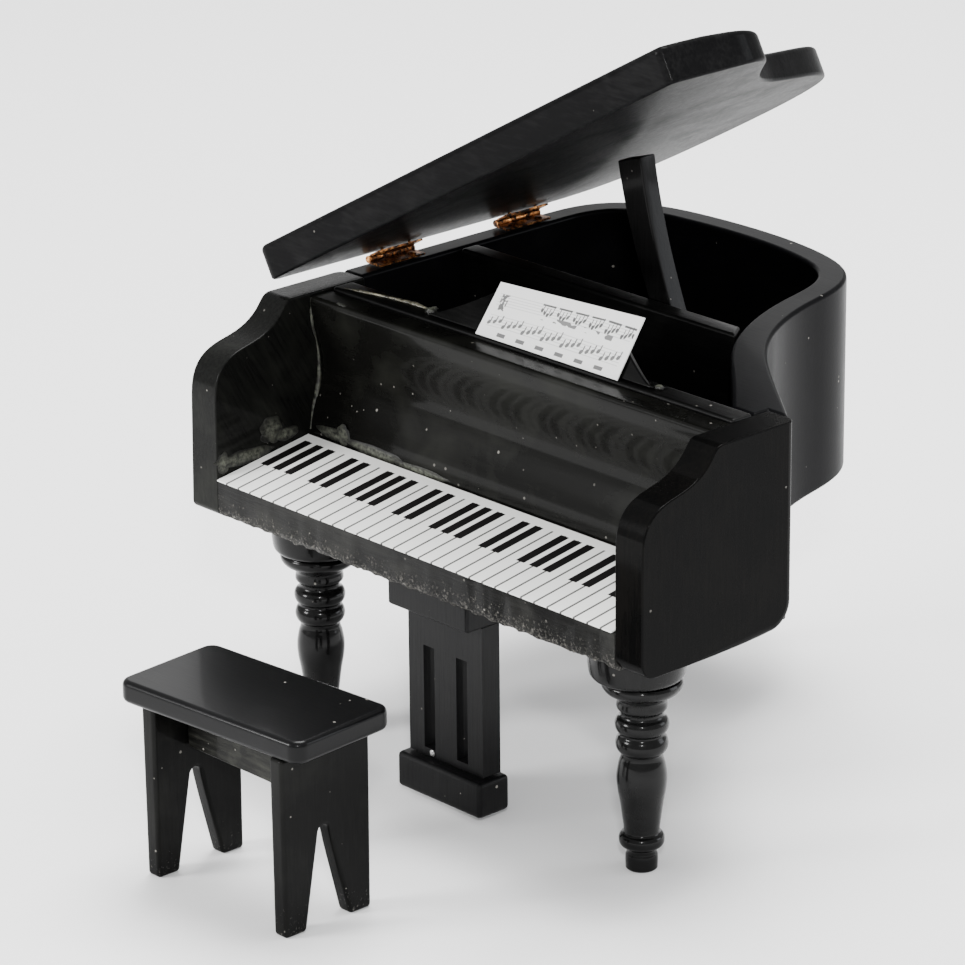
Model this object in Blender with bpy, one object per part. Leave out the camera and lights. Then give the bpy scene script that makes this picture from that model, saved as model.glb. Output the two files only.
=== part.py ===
"""Miniature grand piano for a dolls' house, with its stool.

Run it with: blender --background --python part.py, or from Blender's text editor.

Design axes, in metres: X from the bass side to the treble side, Y from the
player to the tail, Z up from the floor. The bass cheek's front lower edge is
the design zero. The last step moves the whole set so that the middle of its
outer box stands over the world origin.
"""

import math

import bmesh
import bpy
from mathutils import Matrix, Vector
from mathutils.geometry import interpolate_bezier

MM = 0.001
GAP = 0.3 * MM                  # glue or air between two pieces that meet

# ---- driving sizes of the case ----
CASE_WIDTH = 110.0 * MM
CASE_BASE = 41.5 * MM           # underside of the case above the floor
CASE_TOP = 77.0 * MM            # rim and cheek tops above the floor
CHEEK_THICK = 6.2 * MM
CHEEK_LENGTH = 34.4 * MM
CHEEK_FRONT_TOP = 62.3 * MM     # where the cheek's front edge starts to curve
CHEEK_TOP_START = 17.5 * MM     # where the curve reaches the flat top
RIM_WALL = 5.0 * MM
RIM_END_WALL = 6.4 * MM         # the bent side thickens where it meets the cheek
SPINE_LENGTH = 85.0 * MM        # straight run of the bass side, from the front
FALLBOARD_FACE = 21.0 * MM      # foot of the fallboard behind the cheek fronts
FALLBOARD_BACK = 26.3 * MM
DESK_RAIL_BACK = 31.2 * MM
CROSS_RAIL_FRONT = 57.9 * MM
CROSS_RAIL_THICK = 4.0 * MM
CROSS_RAIL_HEIGHT = 14.0 * MM
BOTTOM_THICK = 3.0 * MM
KEYBED_FRONT_TOP = 47.9 * MM
KEYBED_BACK_TOP = 51.2 * MM
PAPER = 0.25 * MM
DESK_LEAN = math.radians(38.4)
DESK_THICK = 1.6 * MM

# ---- lid and its hinges ----
HINGE_X = 1.0 * MM
HINGE_Z = 77.95 * MM
LID_OPEN = math.radians(29.1)
LID_THICK = 6.2 * MM
LID_RISE = 0.95 * MM            # lid underside above the hinge axis
LID_FRONT = 16.8 * MM
LID_RIGHT = 114.0 * MM
HINGE_LENGTH = 10.6 * MM
HINGE_STARTS = (39.8 * MM, 70.4 * MM)
LEAF_THICK = 0.35 * MM
LEAF_WIDTH = 3.3 * MM
BARREL_R = 0.65 * MM
BARREL_BORE_R = 0.40 * MM
HINGE_PIN_R = 0.32 * MM

# ---- lid prop ----
PROP_LEAN = math.radians(17.0)
PROP_PIVOT = Vector((51.8, 64.5, 74.0)) * MM
PROP_WIDTH = 4.6 * MM
PROP_DEPTH = 3.6 * MM
PROP_BORE_R = 0.48 * MM
PROP_NAIL_R = 0.40 * MM

# ---- legs ----
BASS_LEG = (15.0 * MM, 15.0 * MM)
TREBLE_LEG = (94.9 * MM, 14.9 * MM)
TREBLE_FLANGE = (94.4 * MM, 14.3 * MM)  # glued on a little out of true
TAIL_LEG = (33.0 * MM, 88.0 * MM)
FLANGE_R = 8.0 * MM
FLANGE_BASE = 34.0 * MM
TENON_R = 1.4 * MM
FLANGE_BORE_R = 2.4 * MM
TENON_TOP = 43.3 * MM
SOCKET_R = TENON_R + GAP
SOCKET_TOP = TENON_TOP + GAP

# ---- pedal lyre ----
LYRE_X = CASE_WIDTH / 2
LYRE_BLOCK = (19.6 * MM, 8.0 * MM, 5.4 * MM)
LYRE_PANEL = (18.2 * MM, 4.0 * MM, 27.0 * MM)
LYRE_FOOT = (20.6 * MM, 7.0 * MM, 6.4 * MM)
LYRE_FRONT = 4.0 * MM
LYRE_CLEARANCE = 1.5 * MM       # the lyre hangs just clear of the floor
SLOT_WIDTH = 2.7 * MM
SLOT_SPACING = 8.1 * MM

# ---- stool ----
STOOL_CENTRE = (57.9 * MM, -36.2 * MM)
SEAT_TURN = math.radians(4.5)    # the seat is glued on a little askew
STOOL_HEIGHT = 35.2 * MM
SEAT_SIZE = (41.2 * MM, 21.6 * MM)
SEAT_THICK = 3.9 * MM
SEAT_CORNER_R = 2.4 * MM
STOOL_END_SPAN = 35.0 * MM
STOOL_END_THICK = 3.1 * MM
STOOL_END_DEPTH = 18.6 * MM
APRON_HEIGHT = 9.2 * MM
APRON_SETBACK = 6.8 * MM

CUTTERS = []


# ---------------------------------------------------------------- helpers

def clear_scene():
    for leftover in list(bpy.data.objects):
        bpy.data.objects.remove(leftover)


def make_material(name, colour, roughness, metallic=0.0):
    material = bpy.data.materials.new(name)
    material.use_nodes = True
    shader = material.node_tree.nodes["Principled BSDF"]
    shader.inputs["Base Color"].default_value = (*colour, 1.0)
    shader.inputs["Roughness"].default_value = roughness
    shader.inputs["Metallic"].default_value = metallic
    return material


def add_object(name, mesh_edit, material, parent):
    """Turn a bmesh into a named object that carries its material."""
    mesh = bpy.data.meshes.new(name)
    bmesh.ops.recalc_face_normals(mesh_edit, faces=mesh_edit.faces[:])
    mesh_edit.to_mesh(mesh)
    mesh_edit.free()
    piece = bpy.data.objects.new(name, mesh)
    bpy.context.collection.objects.link(piece)
    piece.parent = parent
    if material is not None:
        mesh.materials.append(material)
    return piece


def add_empty(name, location, parent):
    empty = bpy.data.objects.new(name, None)
    bpy.context.collection.objects.link(empty)
    empty.location = location
    empty.parent = parent
    return empty


def extrude_outline(outline, direction):
    """A closed outline of 3-D points, extruded along a vector."""
    edit = bmesh.new()
    face = edit.faces.new([edit.verts.new(point) for point in outline])
    grown = bmesh.ops.extrude_face_region(edit, geom=[face])
    moved = [item for item in grown["geom"] if isinstance(item, bmesh.types.BMVert)]
    bmesh.ops.translate(edit, verts=moved, vec=direction)
    return edit


def side_board(name, profile, low_x, high_x, material, parent):
    """A board whose (y, z) profile runs from low_x to high_x."""
    outline = [(low_x, y, z) for y, z in profile]
    return add_object(name, extrude_outline(outline, (high_x - low_x, 0, 0)), material, parent)


def flat_board(name, outline, low_z, high_z, material, parent):
    """A board whose (x, y) outline runs from low_z to high_z."""
    points = [(x, y, low_z) for x, y in outline]
    return add_object(name, extrude_outline(points, (0, 0, high_z - low_z)), material, parent)


def rectangle(low, high):
    return [(low[0], low[1]), (high[0], low[1]), (high[0], high[1]), (low[0], high[1])]


def block(name, low, high, material, parent):
    return flat_board(name, rectangle(low, high), low[2], high[2], material, parent)


def turn(name, profile, centre, sides, material, parent):
    """Spin a closed (radius, height) profile round a vertical axis."""
    edit = bmesh.new()
    ring = [edit.verts.new((radius, 0, height)) for radius, height in profile]
    edges = [edit.edges.new((a, b)) for a, b in zip(ring, ring[1:])]
    if profile[0][0] > 0:
        edges.append(edit.edges.new((ring[-1], ring[0])))
    bmesh.ops.spin(edit, geom=ring + edges, cent=(0, 0, 0), axis=(0, 0, 1),
                   angle=2 * math.pi, steps=sides)
    bmesh.ops.remove_doubles(edit, verts=edit.verts[:], dist=0.01 * MM)
    piece = add_object(name, edit, material, parent)
    piece.location = centre
    piece.data.shade_smooth()
    piece.data.set_sharp_from_angle(angle=math.radians(35))
    return piece


def cylinder_edit(radius, length, sides=16):
    """A cylinder from the origin up the local Z axis."""
    edit = bmesh.new()
    bmesh.ops.create_cone(edit, cap_ends=True, segments=sides, radius1=radius,
                          radius2=radius, depth=length)
    bmesh.ops.translate(edit, verts=edit.verts[:], vec=(0, 0, length / 2))
    return edit


def place(piece, start, direction):
    """Stand a piece's local Z axis at start, along direction."""
    piece.location = start
    piece.rotation_mode = "QUATERNION"
    piece.rotation_quaternion = Vector(direction).to_track_quat("Z", "Y")


def cutter(name, edit, parent):
    tool = add_object(name, edit, None, parent)
    tool.hide_render = True
    tool.display_type = "WIRE"
    CUTTERS.append(tool)
    return tool


def boolean(piece, tool, operation="DIFFERENCE"):
    step = piece.modifiers.new(tool.name, "BOOLEAN")
    step.operation = operation
    step.object = tool
    return step


def drill(piece, start, direction, radius, depth, parent, sides=12):
    """Cut a round hole that starts a little outside the surface."""
    lead = 1.0 * MM
    tool = cutter(piece.name + "_hole", cylinder_edit(radius, depth + lead, sides), parent)
    place(tool, Vector(start) - Vector(direction).normalized() * lead, direction)
    boolean(piece, tool)


def soften(piece, width, segments=2, angle=40):
    """Round a piece's edges, and shade it smooth across the rounding."""
    edge = piece.modifiers.new("soft_edges", "BEVEL")
    edge.width = width
    edge.segments = segments
    edge.limit_method = "ANGLE"
    edge.angle_limit = math.radians(angle)
    return edge


def arc(centre, radius, start, end, steps):
    """Points of an arc, with its angles in degrees."""
    points = []
    for step in range(steps + 1):
        angle = math.radians(start + (end - start) * step / steps)
        points.append((centre[0] + radius * math.cos(angle),
                       centre[1] + radius * math.sin(angle)))
    return points


def bezier(start, handle_a, handle_b, end, steps):
    """Points of one Bezier stretch, given in millimetres, in the plane."""
    corners = [Vector((x * MM, y * MM, 0)) for x, y in (start, handle_a, handle_b, end)]
    return [(point.x, point.y) for point in interpolate_bezier(*corners, steps + 1)]


def joined(*stretches):
    """Join stretches end to end, without the doubled points between them."""
    points = []
    for stretch in stretches:
        for point in stretch:
            if not points or (Vector(point) - Vector(points[-1])).length > 0.02 * MM:
                points.append(point)
    return points


# ---------------------------------------------------------------- case outline

def rim_path():
    """Outer plan line of the rim: up the spine, round the tail, down the bent side."""
    spine = [(0.0, CHEEK_LENGTH + GAP), (0.0, SPINE_LENGTH)]
    bass_corner = bezier((0, 85), (0, 97), (6, 102.4), (20, 103.8), 7)
    tail = bezier((20, 103.8), (34, 105.2), (48, 104.2), (57, 100.4), 6)
    treble_corner = bezier((57, 100.4), (65.4, 96.8), (67.8, 90), (69.6, 82), 6)
    waist = bezier((69.6, 82), (72.4, 69.5), (78, 59.6), (88, 51), 7)
    shoulder = bezier((88, 51), (95, 45), (102, 39.8), (108, 34.7), 4)
    return joined(spine, bass_corner, tail, treble_corner, waist, shoulder)


def wall_thickness(x, y):
    """The rim's wall, which thickens along the last stretch to the treble cheek."""
    shoulder_start = 72 * MM
    share = min(max((x - shoulder_start) / (16 * MM), 0.0), 1.0) if y < 70 * MM else 0.0
    return RIM_WALL + (RIM_END_WALL - RIM_WALL) * share


def inward(path, extra=0.0):
    """The path moved inwards by the wall's thickness and an extra gap."""
    moved = []
    for index, point in enumerate(path):
        before = Vector(path[max(index - 1, 0)])
        after = Vector(path[min(index + 1, len(path) - 1)])
        along = (after - before).normalized()
        side = Vector((along.y, -along.x))
        moved.append(tuple(Vector(point) + side * (wall_thickness(*point) + extra)))
    return moved


def inner_x(path, y):
    """Where the inside of the bent side stands at a distance from the front."""
    for (x0, y0), (x1, y1) in zip(path, path[1:]):
        if y1 <= y <= y0 and x1 > RIM_WALL:
            return x0 + (x1 - x0) * (y - y0) / (y1 - y0)
    raise ValueError("the bent side does not reach this distance")


def trimmed(path, low_y):
    """The inner path without its points in front of low_y, on the treble side."""
    return [point for point in path if point[1] > low_y or point[0] < RIM_WALL * 2]


# ---------------------------------------------------------------- case

def build_rim(material, root):
    outer = rim_path()
    inner = inward(outer)
    hook_y = DESK_RAIL_BACK + GAP
    hook_x = CASE_WIDTH - CHEEK_THICK - GAP
    inner_line = trimmed(inner, hook_y)
    end_x = inner_line[-1][0] + (inner_line[-1][1] - hook_y)
    end = [(hook_x, CHEEK_LENGTH + GAP), (hook_x, hook_y), (end_x, hook_y)]
    outline = outer + end + inner_line[::-1]
    rim = flat_board("rim", outline, CASE_BASE, CASE_TOP, material, root)
    soften(rim, 0.7 * MM)
    for start in HINGE_STARTS:
        for y in nail_stations(start):
            drill(rim, (HINGE_X + nail_reach(), y, CASE_TOP), (0, 0, -1), 0.5 * MM, 3.0 * MM, root)
    return inner


def build_bottom(inner, material, root):
    front = DESK_RAIL_BACK + GAP
    lining = trimmed(inward(rim_path(), GAP), front)
    reach = lining[-1][0] + (lining[-1][1] - front) - 2 * GAP
    start = (lining[0][0] + CHEEK_THICK - RIM_WALL, front)
    step = (start[0], CHEEK_LENGTH + 2 * GAP)
    outline = [start, step, (lining[0][0], step[1])] + lining[1:] + [(reach, front)]
    board = flat_board("bottom_board", outline, CASE_BASE, CASE_BASE + BOTTOM_THICK, material, root)
    drill(board, (*TAIL_LEG, CASE_BASE), (0, 0, 1), SOCKET_R, SOCKET_TOP - CASE_BASE, root, 16)


def cheek_profile(low_r):
    """Side view of a cheek, from the front lower corner, anticlockwise from the treble."""
    base, top = CASE_BASE, CASE_TOP
    back_r = 4.6 * MM
    front_foot = arc((low_r, base + low_r), low_r, 270, 180, 4)
    shoulder = bezier((0, 62.3), (0, 68.6), (3.4, 70.0), (7.6, 70.9), 6)
    rise = bezier((7.6, 70.9), (12.4, 71.9), (14.2, 73.6), (15.6, 75.6), 5)
    crest = bezier((15.6, 75.6), (16.2, 76.5), (16.7, 77.0), (17.9, 77.0), 2)
    heel = arc((CHEEK_LENGTH - back_r, base + back_r), back_r, 0, -90, 5)
    back = [(CHEEK_LENGTH, top)]
    return joined(front_foot, shoulder, rise, crest, back, heel)


def build_cheek(name, low_x, outer_x, low_r, material, root):
    profile = cheek_profile(low_r)
    cheek = side_board(name, profile, low_x, low_x + CHEEK_THICK, material, root)
    edit = bmesh.new()
    edit.from_mesh(cheek.data)
    corner = [edge for edge in edit.edges
              if all(abs(v.co.x - outer_x) < 0.01 * MM and v.co.y > CHEEK_LENGTH - 4.7 * MM
                     for v in edge.verts)
              and edge.calc_face_angle() > math.radians(60)
              and min(v.co.z for v in edge.verts) < CASE_TOP - 1 * MM]
    bmesh.ops.bevel(edit, geom=corner, offset=1.8 * MM, segments=3, profile=0.5,
                    affect="EDGES")
    edit.to_mesh(cheek.data)
    edit.free()
    soften(cheek, 0.5 * MM)
    return cheek


def build_keybed(material, root):
    low_x, high_x = CHEEK_THICK + GAP, CASE_WIDTH - CHEEK_THICK - GAP
    edge_r = 1.4 * MM
    foot = arc((edge_r, CASE_BASE + edge_r), edge_r, 270, 180, 3)
    profile = foot + [(0, KEYBED_FRONT_TOP), (FALLBOARD_FACE, KEYBED_BACK_TOP),
                      (DESK_RAIL_BACK, KEYBED_BACK_TOP), (DESK_RAIL_BACK, CASE_BASE)]
    keybed = side_board("keybed", profile, low_x, high_x, material, root)
    soften(keybed, 0.25 * MM, 1)
    for leg in (BASS_LEG, TREBLE_LEG):
        drill(keybed, (*leg, CASE_BASE), (0, 0, 1), SOCKET_R, SOCKET_TOP - CASE_BASE, root, 16)


def build_key_sheet(material, root):
    """The printed keyboard: one strip of card on the sloping keybed."""
    slope = (KEYBED_BACK_TOP - KEYBED_FRONT_TOP) / FALLBOARD_FACE
    low_y, high_y = -0.3 * MM, FALLBOARD_FACE - 0.5 * MM
    base = KEYBED_FRONT_TOP + GAP
    profile = [(low_y, base + slope * low_y), (high_y, base + slope * high_y),
               (high_y, base + slope * high_y + PAPER), (low_y, base + slope * low_y + PAPER)]
    side_board("key_sheet", profile, CHEEK_THICK + GAP, CASE_WIDTH - CHEEK_THICK - 3 * GAP,
               material, root)


def build_fallboard(material, root):
    base = KEYBED_BACK_TOP + GAP
    top = CASE_TOP - 0.4 * MM
    nose = arc((22.4 * MM, top - 0.9 * MM), 0.9 * MM, 90, 180, 3)
    upper = bezier((21.5, 75.2), (21.7, 71.5), (23.9, 67.5), (23.9, 63.2), 6)
    lower = bezier((23.9, 63.2), (23.9, 60.0), (21.0, 57.0), (21.0, 51.5), 6)
    profile = joined(nose, upper, lower) + [(FALLBOARD_BACK, base), (FALLBOARD_BACK, top)]
    fallboard = side_board("fallboard", profile, CHEEK_THICK + GAP,
                           CASE_WIDTH - CHEEK_THICK - GAP, material, root)
    fallboard.data.shade_smooth()
    fallboard.data.set_sharp_from_angle(angle=math.radians(35))


def build_desk_rail(material, root):
    rail = block("desk_rail", (CHEEK_THICK + GAP, FALLBOARD_BACK + GAP, CASE_TOP - 7 * MM),
                 (CASE_WIDTH - CHEEK_THICK - GAP, DESK_RAIL_BACK, CASE_TOP + 0.2 * MM),
                 material, root)
    soften(rail, 0.5 * MM)


def build_cross_rail(inner, material, root):
    front, back = CROSS_RAIL_FRONT, CROSS_RAIL_FRONT + CROSS_RAIL_THICK
    left = RIM_WALL + GAP
    slack = 1.6 * GAP
    outline = [(left, front), (inner_x(inner, front) - slack, front),
               (inner_x(inner, back) - slack, back), (left, back)]
    rail = flat_board("cross_rail", outline, CASE_TOP - CROSS_RAIL_HEIGHT, CASE_TOP, material, root)
    soften(rail, 0.5 * MM)


# ---------------------------------------------------------------- music desk

def lean_back(piece, foot):
    """Stand a flat piece up from its foot line and lean it towards the tail."""
    piece.location = foot
    piece.rotation_euler = (math.pi / 2 - DESK_LEAN, 0, 0)


def build_music_desk(wood, paper, root):
    half_base, half_top, height = 27.2, 13.2, 8.6
    side = bezier((half_base, 0), (half_base - 5.5, 2.4), (half_top + 4.2, 5.6),
                  (half_top, height), 4)
    outline = side + [(-x, y) for x, y in reversed(side)]
    desk = flat_board("music_desk", outline, -DESK_THICK, 0.0, wood, root)
    for vertex in desk.data.vertices:
        if vertex.co.y < 0.01 * MM and vertex.co.z < -DESK_THICK / 2:
            vertex.co.y = DESK_THICK * math.tan(DESK_LEAN)
    lean_back(desk, (57.0 * MM, 27.5 * MM, CASE_TOP + 0.5 * MM))
    corners = [(-17.0 * MM, 0), (17.0 * MM, 0), (16.3 * MM, 11.4 * MM), (-17.1 * MM, 9.8 * MM)]
    sheet = flat_board("sheet_music", corners, 0.0, PAPER, paper, root)
    lean_back(sheet, (60.0 * MM, 26.8 * MM, CASE_TOP + 0.25 * MM))


# ---------------------------------------------------------------- lid

def lid_outline():
    """Plan of the lid, shut, from its front bass corner, anticlockwise."""
    corner = 3.0 * MM
    left, right, front = HINGE_X, LID_RIGHT, LID_FRONT
    front_bass = arc((left + corner, front + corner), corner, 180, 270, 4)
    front_treble = arc((right - corner, front + corner), corner, 270, 360, 4)
    treble_end = bezier((114, 32.6), (114, 38.4), (111.6, 40.4), (107, 44.0), 5)
    waist = bezier((107, 44.0), (98, 51.0), (89.2, 57.5), (84.6, 66.5), 7)
    lobe = bezier((84.6, 66.5), (80.8, 75), (80.2, 82), (73.4, 89.3), 6)
    tail = bezier((73.4, 89.3), (64.5, 98.8), (48, 101.4), (31, 101.4), 7)
    spine_corner = bezier((31, 101.4), (10, 101.4), (1.0, 97), (1.0, 82), 8)
    return joined(front_bass, front_treble, treble_end, waist, lobe, tail, spine_corner)[:-1]


def lid_thinning(x, y):
    """The lid's top is sanded lower towards the tail on the treble side."""
    towards_tail = min(max((y - 26 * MM) / (20 * MM), 0.0), 1.0)
    towards_treble = min(max((x - 60 * MM) / (30 * MM), 0.0), 1.0)
    return 1.1 * MM * towards_tail * towards_treble


def build_lid(material, hinge):
    outline = [(x - HINGE_X, y) for x, y in lid_outline()]
    lid = flat_board("lid", outline, LID_RISE, LID_RISE + LID_THICK, material, hinge)
    edit = bmesh.new()
    edit.from_mesh(lid.data)
    top = [edge for edge in edit.edges
           if all(v.co.z > LID_RISE + LID_THICK / 2 for v in edge.verts)]
    bmesh.ops.bevel(edit, geom=top, offset=1.4 * MM, segments=3, profile=0.5, affect="EDGES")
    bottom = [edge for edge in edit.edges
              if all(v.co.z < LID_RISE + 0.01 * MM for v in edge.verts)]
    bmesh.ops.bevel(edit, geom=bottom, offset=0.5 * MM, segments=1, profile=0.5,
                    affect="EDGES")
    edit.to_mesh(lid.data)
    edit.free()
    for vertex in lid.data.vertices:
        if vertex.co.z > LID_RISE + LID_THICK / 2:
            vertex.co.z -= lid_thinning(vertex.co.x, vertex.co.y)
    lid.data.shade_smooth()
    lid.data.set_sharp_from_angle(angle=math.radians(50))
    for start in HINGE_STARTS:
        for y in nail_stations(start):
            drill(lid, (nail_reach(), y, LID_RISE), (0, 0, 1), 0.5 * MM, 3.0 * MM, hinge)


def nail_stations(start):
    """Distances from the front of the two nails in a hinge leaf."""
    middle = start + HINGE_LENGTH / 2
    return (middle - 3.2 * MM, middle + 3.2 * MM)


def nail_reach():
    """How far the nails stand from the hinge axis."""
    return BARREL_R + (LEAF_WIDTH - BARREL_R) * 0.56


def leaf_body(name, knuckles, start, side, material, parent):
    """One hinge leaf: a plate tangent to its barrel, and rolled knuckles."""
    low = BARREL_R - LEAF_THICK if side > 0 else -BARREL_R
    length = HINGE_LENGTH
    plate = block(name, (BARREL_R + 0.25 * MM, start, low),
                  (LEAF_WIDTH, start + length, low + LEAF_THICK), material, parent)
    for index, (near, far) in enumerate(knuckles):
        tab = extrude_outline([(x, start + near, z) for x, z in
                               rectangle((0.0, low), (LEAF_WIDTH / 2, low + LEAF_THICK))],
                              (0, far - near, 0))
        boolean(plate, cutter(f"{name}_tab_{index}", tab, parent), "UNION")
        roll = cutter(f"{name}_roll_{index}", cylinder_edit(BARREL_R, far - near, 20), parent)
        place(roll, (0, start + near, 0), (0, 1, 0))
        boolean(plate, roll, "UNION")
    bore = cutter(name + "_bore", cylinder_edit(BARREL_BORE_R, length + 2 * MM, 20), parent)
    place(bore, (0, start - MM, 0), (0, 1, 0))
    boolean(plate, bore)
    for y in nail_stations(start):
        drill(plate, (nail_reach(), y, low - MM), (0, 0, 1), 0.45 * MM, LEAF_THICK + 2 * MM, parent)
    return plate


def build_nail(name, head_at, direction, head_r, shank_r, length, material, parent):
    """A pin with a low domed head; direction runs from its head to its point."""
    head = 0.34 * MM
    profile = [(0, -head), (head_r * 0.6, -head * 0.85), (head_r, -head * 0.3), (head_r, 0),
               (shank_r, 0), (shank_r, length - shank_r), (0, length)]
    nail = turn(name, profile, (0, 0, 0), 12, material, parent)
    place(nail, head_at, direction)


def build_hinges(brass, root, fixed, hinge):
    third = HINGE_LENGTH / 3
    slit = 0.1 * MM
    ends = [(0, third - slit), (2 * third + slit, HINGE_LENGTH)]
    middle = [(third + slit, 2 * third - slit)]
    for number, start in enumerate(HINGE_STARTS, 1):
        label = f"hinge_{number}"
        leaf_body(label + "_rim_leaf", ends, start, -1, brass, fixed)
        leaf_body(label + "_lid_leaf", middle, start, 1, brass, hinge)
        pin = add_object(label + "_pin", cylinder_edit(HINGE_PIN_R, HINGE_LENGTH, 16), brass, hinge)
        place(pin, (0, start, 0), (0, 1, 0))
        for index, y in enumerate(nail_stations(start), 1):
            seat = 0.05 * MM
            build_nail(f"{label}_rim_nail_{index}", (nail_reach(), y, -BARREL_R + LEAF_THICK + seat),
                       (0, 0, -1), 0.8 * MM, 0.28 * MM, 2.6 * MM, brass, fixed)
            build_nail(f"{label}_lid_nail_{index}", (nail_reach(), y, BARREL_R - LEAF_THICK - seat),
                       (0, 0, 1), 0.8 * MM, 0.28 * MM, 2.6 * MM, brass, hinge)


# ---------------------------------------------------------------- lid prop

def build_prop(wood, steel, root, pivot):
    """The bowed prop, nailed through its foot to a block behind the cross rail."""
    half = PROP_WIDTH / 2
    bass_edge = bezier((-3.6, 27.8), (-4.7, 18), (-3.6, 7), (-2.3, -1.6), 5)
    treble_edge = bezier((2.3, -1.6), (1.5, 7), (0.7, 16), (2.2, 27.8), 5)
    outline = [(x, -PROP_DEPTH / 2, z) for x, z in joined(bass_edge, treble_edge)]
    prop = add_object("prop_stick", extrude_outline(outline, (0, PROP_DEPTH, 0)), wood, pivot)
    soften(prop, 0.35 * MM, 2)
    drill(prop, (half, 0, 0), (-1, 0, 0), PROP_BORE_R, PROP_WIDTH + MM, pivot, 20)
    frame = add_empty("prop_block_frame", PROP_PIVOT, root)
    frame.rotation_euler = (0, -PROP_LEAN, 0)
    back = CROSS_RAIL_FRONT + CROSS_RAIL_THICK + GAP - PROP_PIVOT.y
    face = -half - 4 * GAP
    support = block("prop_block", (face - 4 * MM, back, -3.2 * MM),
                    (face, back + 5 * MM, 2.2 * MM), wood, frame)
    soften(support, 0.3 * MM, 1)
    drill(support, (face, 0, 0), (-1, 0, 0), PROP_BORE_R, 3.0 * MM, frame, 20)
    build_nail("prop_nail", (half + 0.05 * MM, 0, 0), (-1, 0, 0), 0.8 * MM, PROP_NAIL_R,
               8.0 * MM, steel, frame)


# ---------------------------------------------------------------- legs and lyre

def leg_profile():
    """Turned leg, as radius and height in millimetres, from its tenon down."""
    shape = [(0, 43.3), (1.4, 43.3), (1.4, 33.7),
             (6.6, 33.7), (6.7, 33.0), (6.1, 31.8), (4.7, 30.9), (4.15, 30.3),
             (4.15, 28.6), (3.6, 27.9), (3.6, 27.3), (4.3, 26.6), (4.45, 25.7),
             (4.25, 24.8), (3.75, 24.3), (3.75, 23.9), (4.15, 23.3), (4.35, 22.4),
             (4.1, 21.4), (3.5, 20.7), (3.5, 20.0), (3.9, 18.6), (4.15, 16.8),
             (4.05, 14.6), (3.6, 12.0), (3.2, 9.0), (3.0, 7.0), (3.1, 6.5), (3.65, 6.1),
             (3.75, 5.2), (3.55, 4.4), (2.7, 3.7), (2.5, 3.1), (2.65, 2.5), (2.65, 0.0), (0, 0.0)]
    return [(radius * MM, height * MM) for radius, height in shape]


def flange_profile():
    """Round block over a leg, bored for the leg's tenon."""
    top, base, outer = CASE_BASE - GAP, FLANGE_BASE, FLANGE_R
    lip = arc((outer - 1.2 * MM, base + 1.2 * MM), 1.2 * MM, 0, -90, 3)
    return [(FLANGE_BORE_R, top), (outer, top)] + lip + [(FLANGE_BORE_R, base)]


def build_legs(material, root):
    stations = {"bass": (BASS_LEG, BASS_LEG), "treble": (TREBLE_LEG, TREBLE_FLANGE),
                "tail": (TAIL_LEG, TAIL_LEG)}
    for label, (leg, flange) in stations.items():
        turn(f"leg_flange_{label}", flange_profile(), (*flange, 0), 28, material, root)
        turn(f"leg_{label}", leg_profile(), (*leg, 0), 24, material, root)


def build_lyre(wood, steel, root):
    low_z = LYRE_CLEARANCE
    foot_top = low_z + LYRE_FOOT[2]
    panel_low = foot_top + GAP
    panel_top = panel_low + LYRE_PANEL[2]
    x = LYRE_X
    foot_front = LYRE_FRONT + 2 * MM
    panel_front = LYRE_FRONT + 4 * MM
    foot = block("lyre_foot", (x - LYRE_FOOT[0] / 2, foot_front, low_z),
                 (x + LYRE_FOOT[0] / 2, foot_front + LYRE_FOOT[1], foot_top), wood, root)
    soften(foot, 0.7 * MM)
    panel = block("lyre_panel", (x - LYRE_PANEL[0] / 2, panel_front, panel_low),
                  (x + LYRE_PANEL[0] / 2, panel_front + LYRE_PANEL[1], panel_top), wood, root)
    for index, side in enumerate((-1, 1)):
        middle = x + side * SLOT_SPACING / 2
        slot = extrude_outline(
            [(px, panel_front - MM, pz) for px, pz in
             rectangle((middle - SLOT_WIDTH / 2, panel_low + 1.4 * MM),
                       (middle + SLOT_WIDTH / 2, panel_top - 7.0 * MM))],
            (0, LYRE_PANEL[1] + 2 * MM, 0))
        boolean(panel, cutter(f"lyre_slot_{index}", slot, root))
    block_low = panel_top + GAP
    head = block("lyre_block", (x - LYRE_BLOCK[0] / 2, LYRE_FRONT, block_low),
                 (x + LYRE_BLOCK[0] / 2, LYRE_FRONT + LYRE_BLOCK[1], CASE_BASE - GAP), wood, root)
    soften(head, 0.35 * MM, 1)
    nail = (x - 3.4 * MM, panel_front, panel_low + 0.75 * MM)
    drill(panel, nail, (0, 1, 0), 0.45 * MM, 2.6 * MM, root)
    build_nail("lyre_nail", (nail[0], nail[1] - 0.05 * MM, nail[2]), (0, 1, 0), 0.6 * MM,
               0.28 * MM, 2.2 * MM, steel, root)


# ---------------------------------------------------------------- stool

def stool_end_profile():
    """Side view of a stool end: two feet under a narrow arch."""
    half = STOOL_END_DEPTH / 2
    top = STOOL_HEIGHT - SEAT_THICK - GAP
    foot_half = half - 0.2 * MM
    mouth = 4.6 * MM
    crown_r = 1.15 * MM
    crown = arc((-0.6 * MM, 16.2 * MM), crown_r, 180, 0, 6)
    return [(-half, top), (-foot_half, 0), (-mouth, 0)] + crown + [(mouth, 0), (foot_half, 0),
                                                                     (half, top)]


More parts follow.
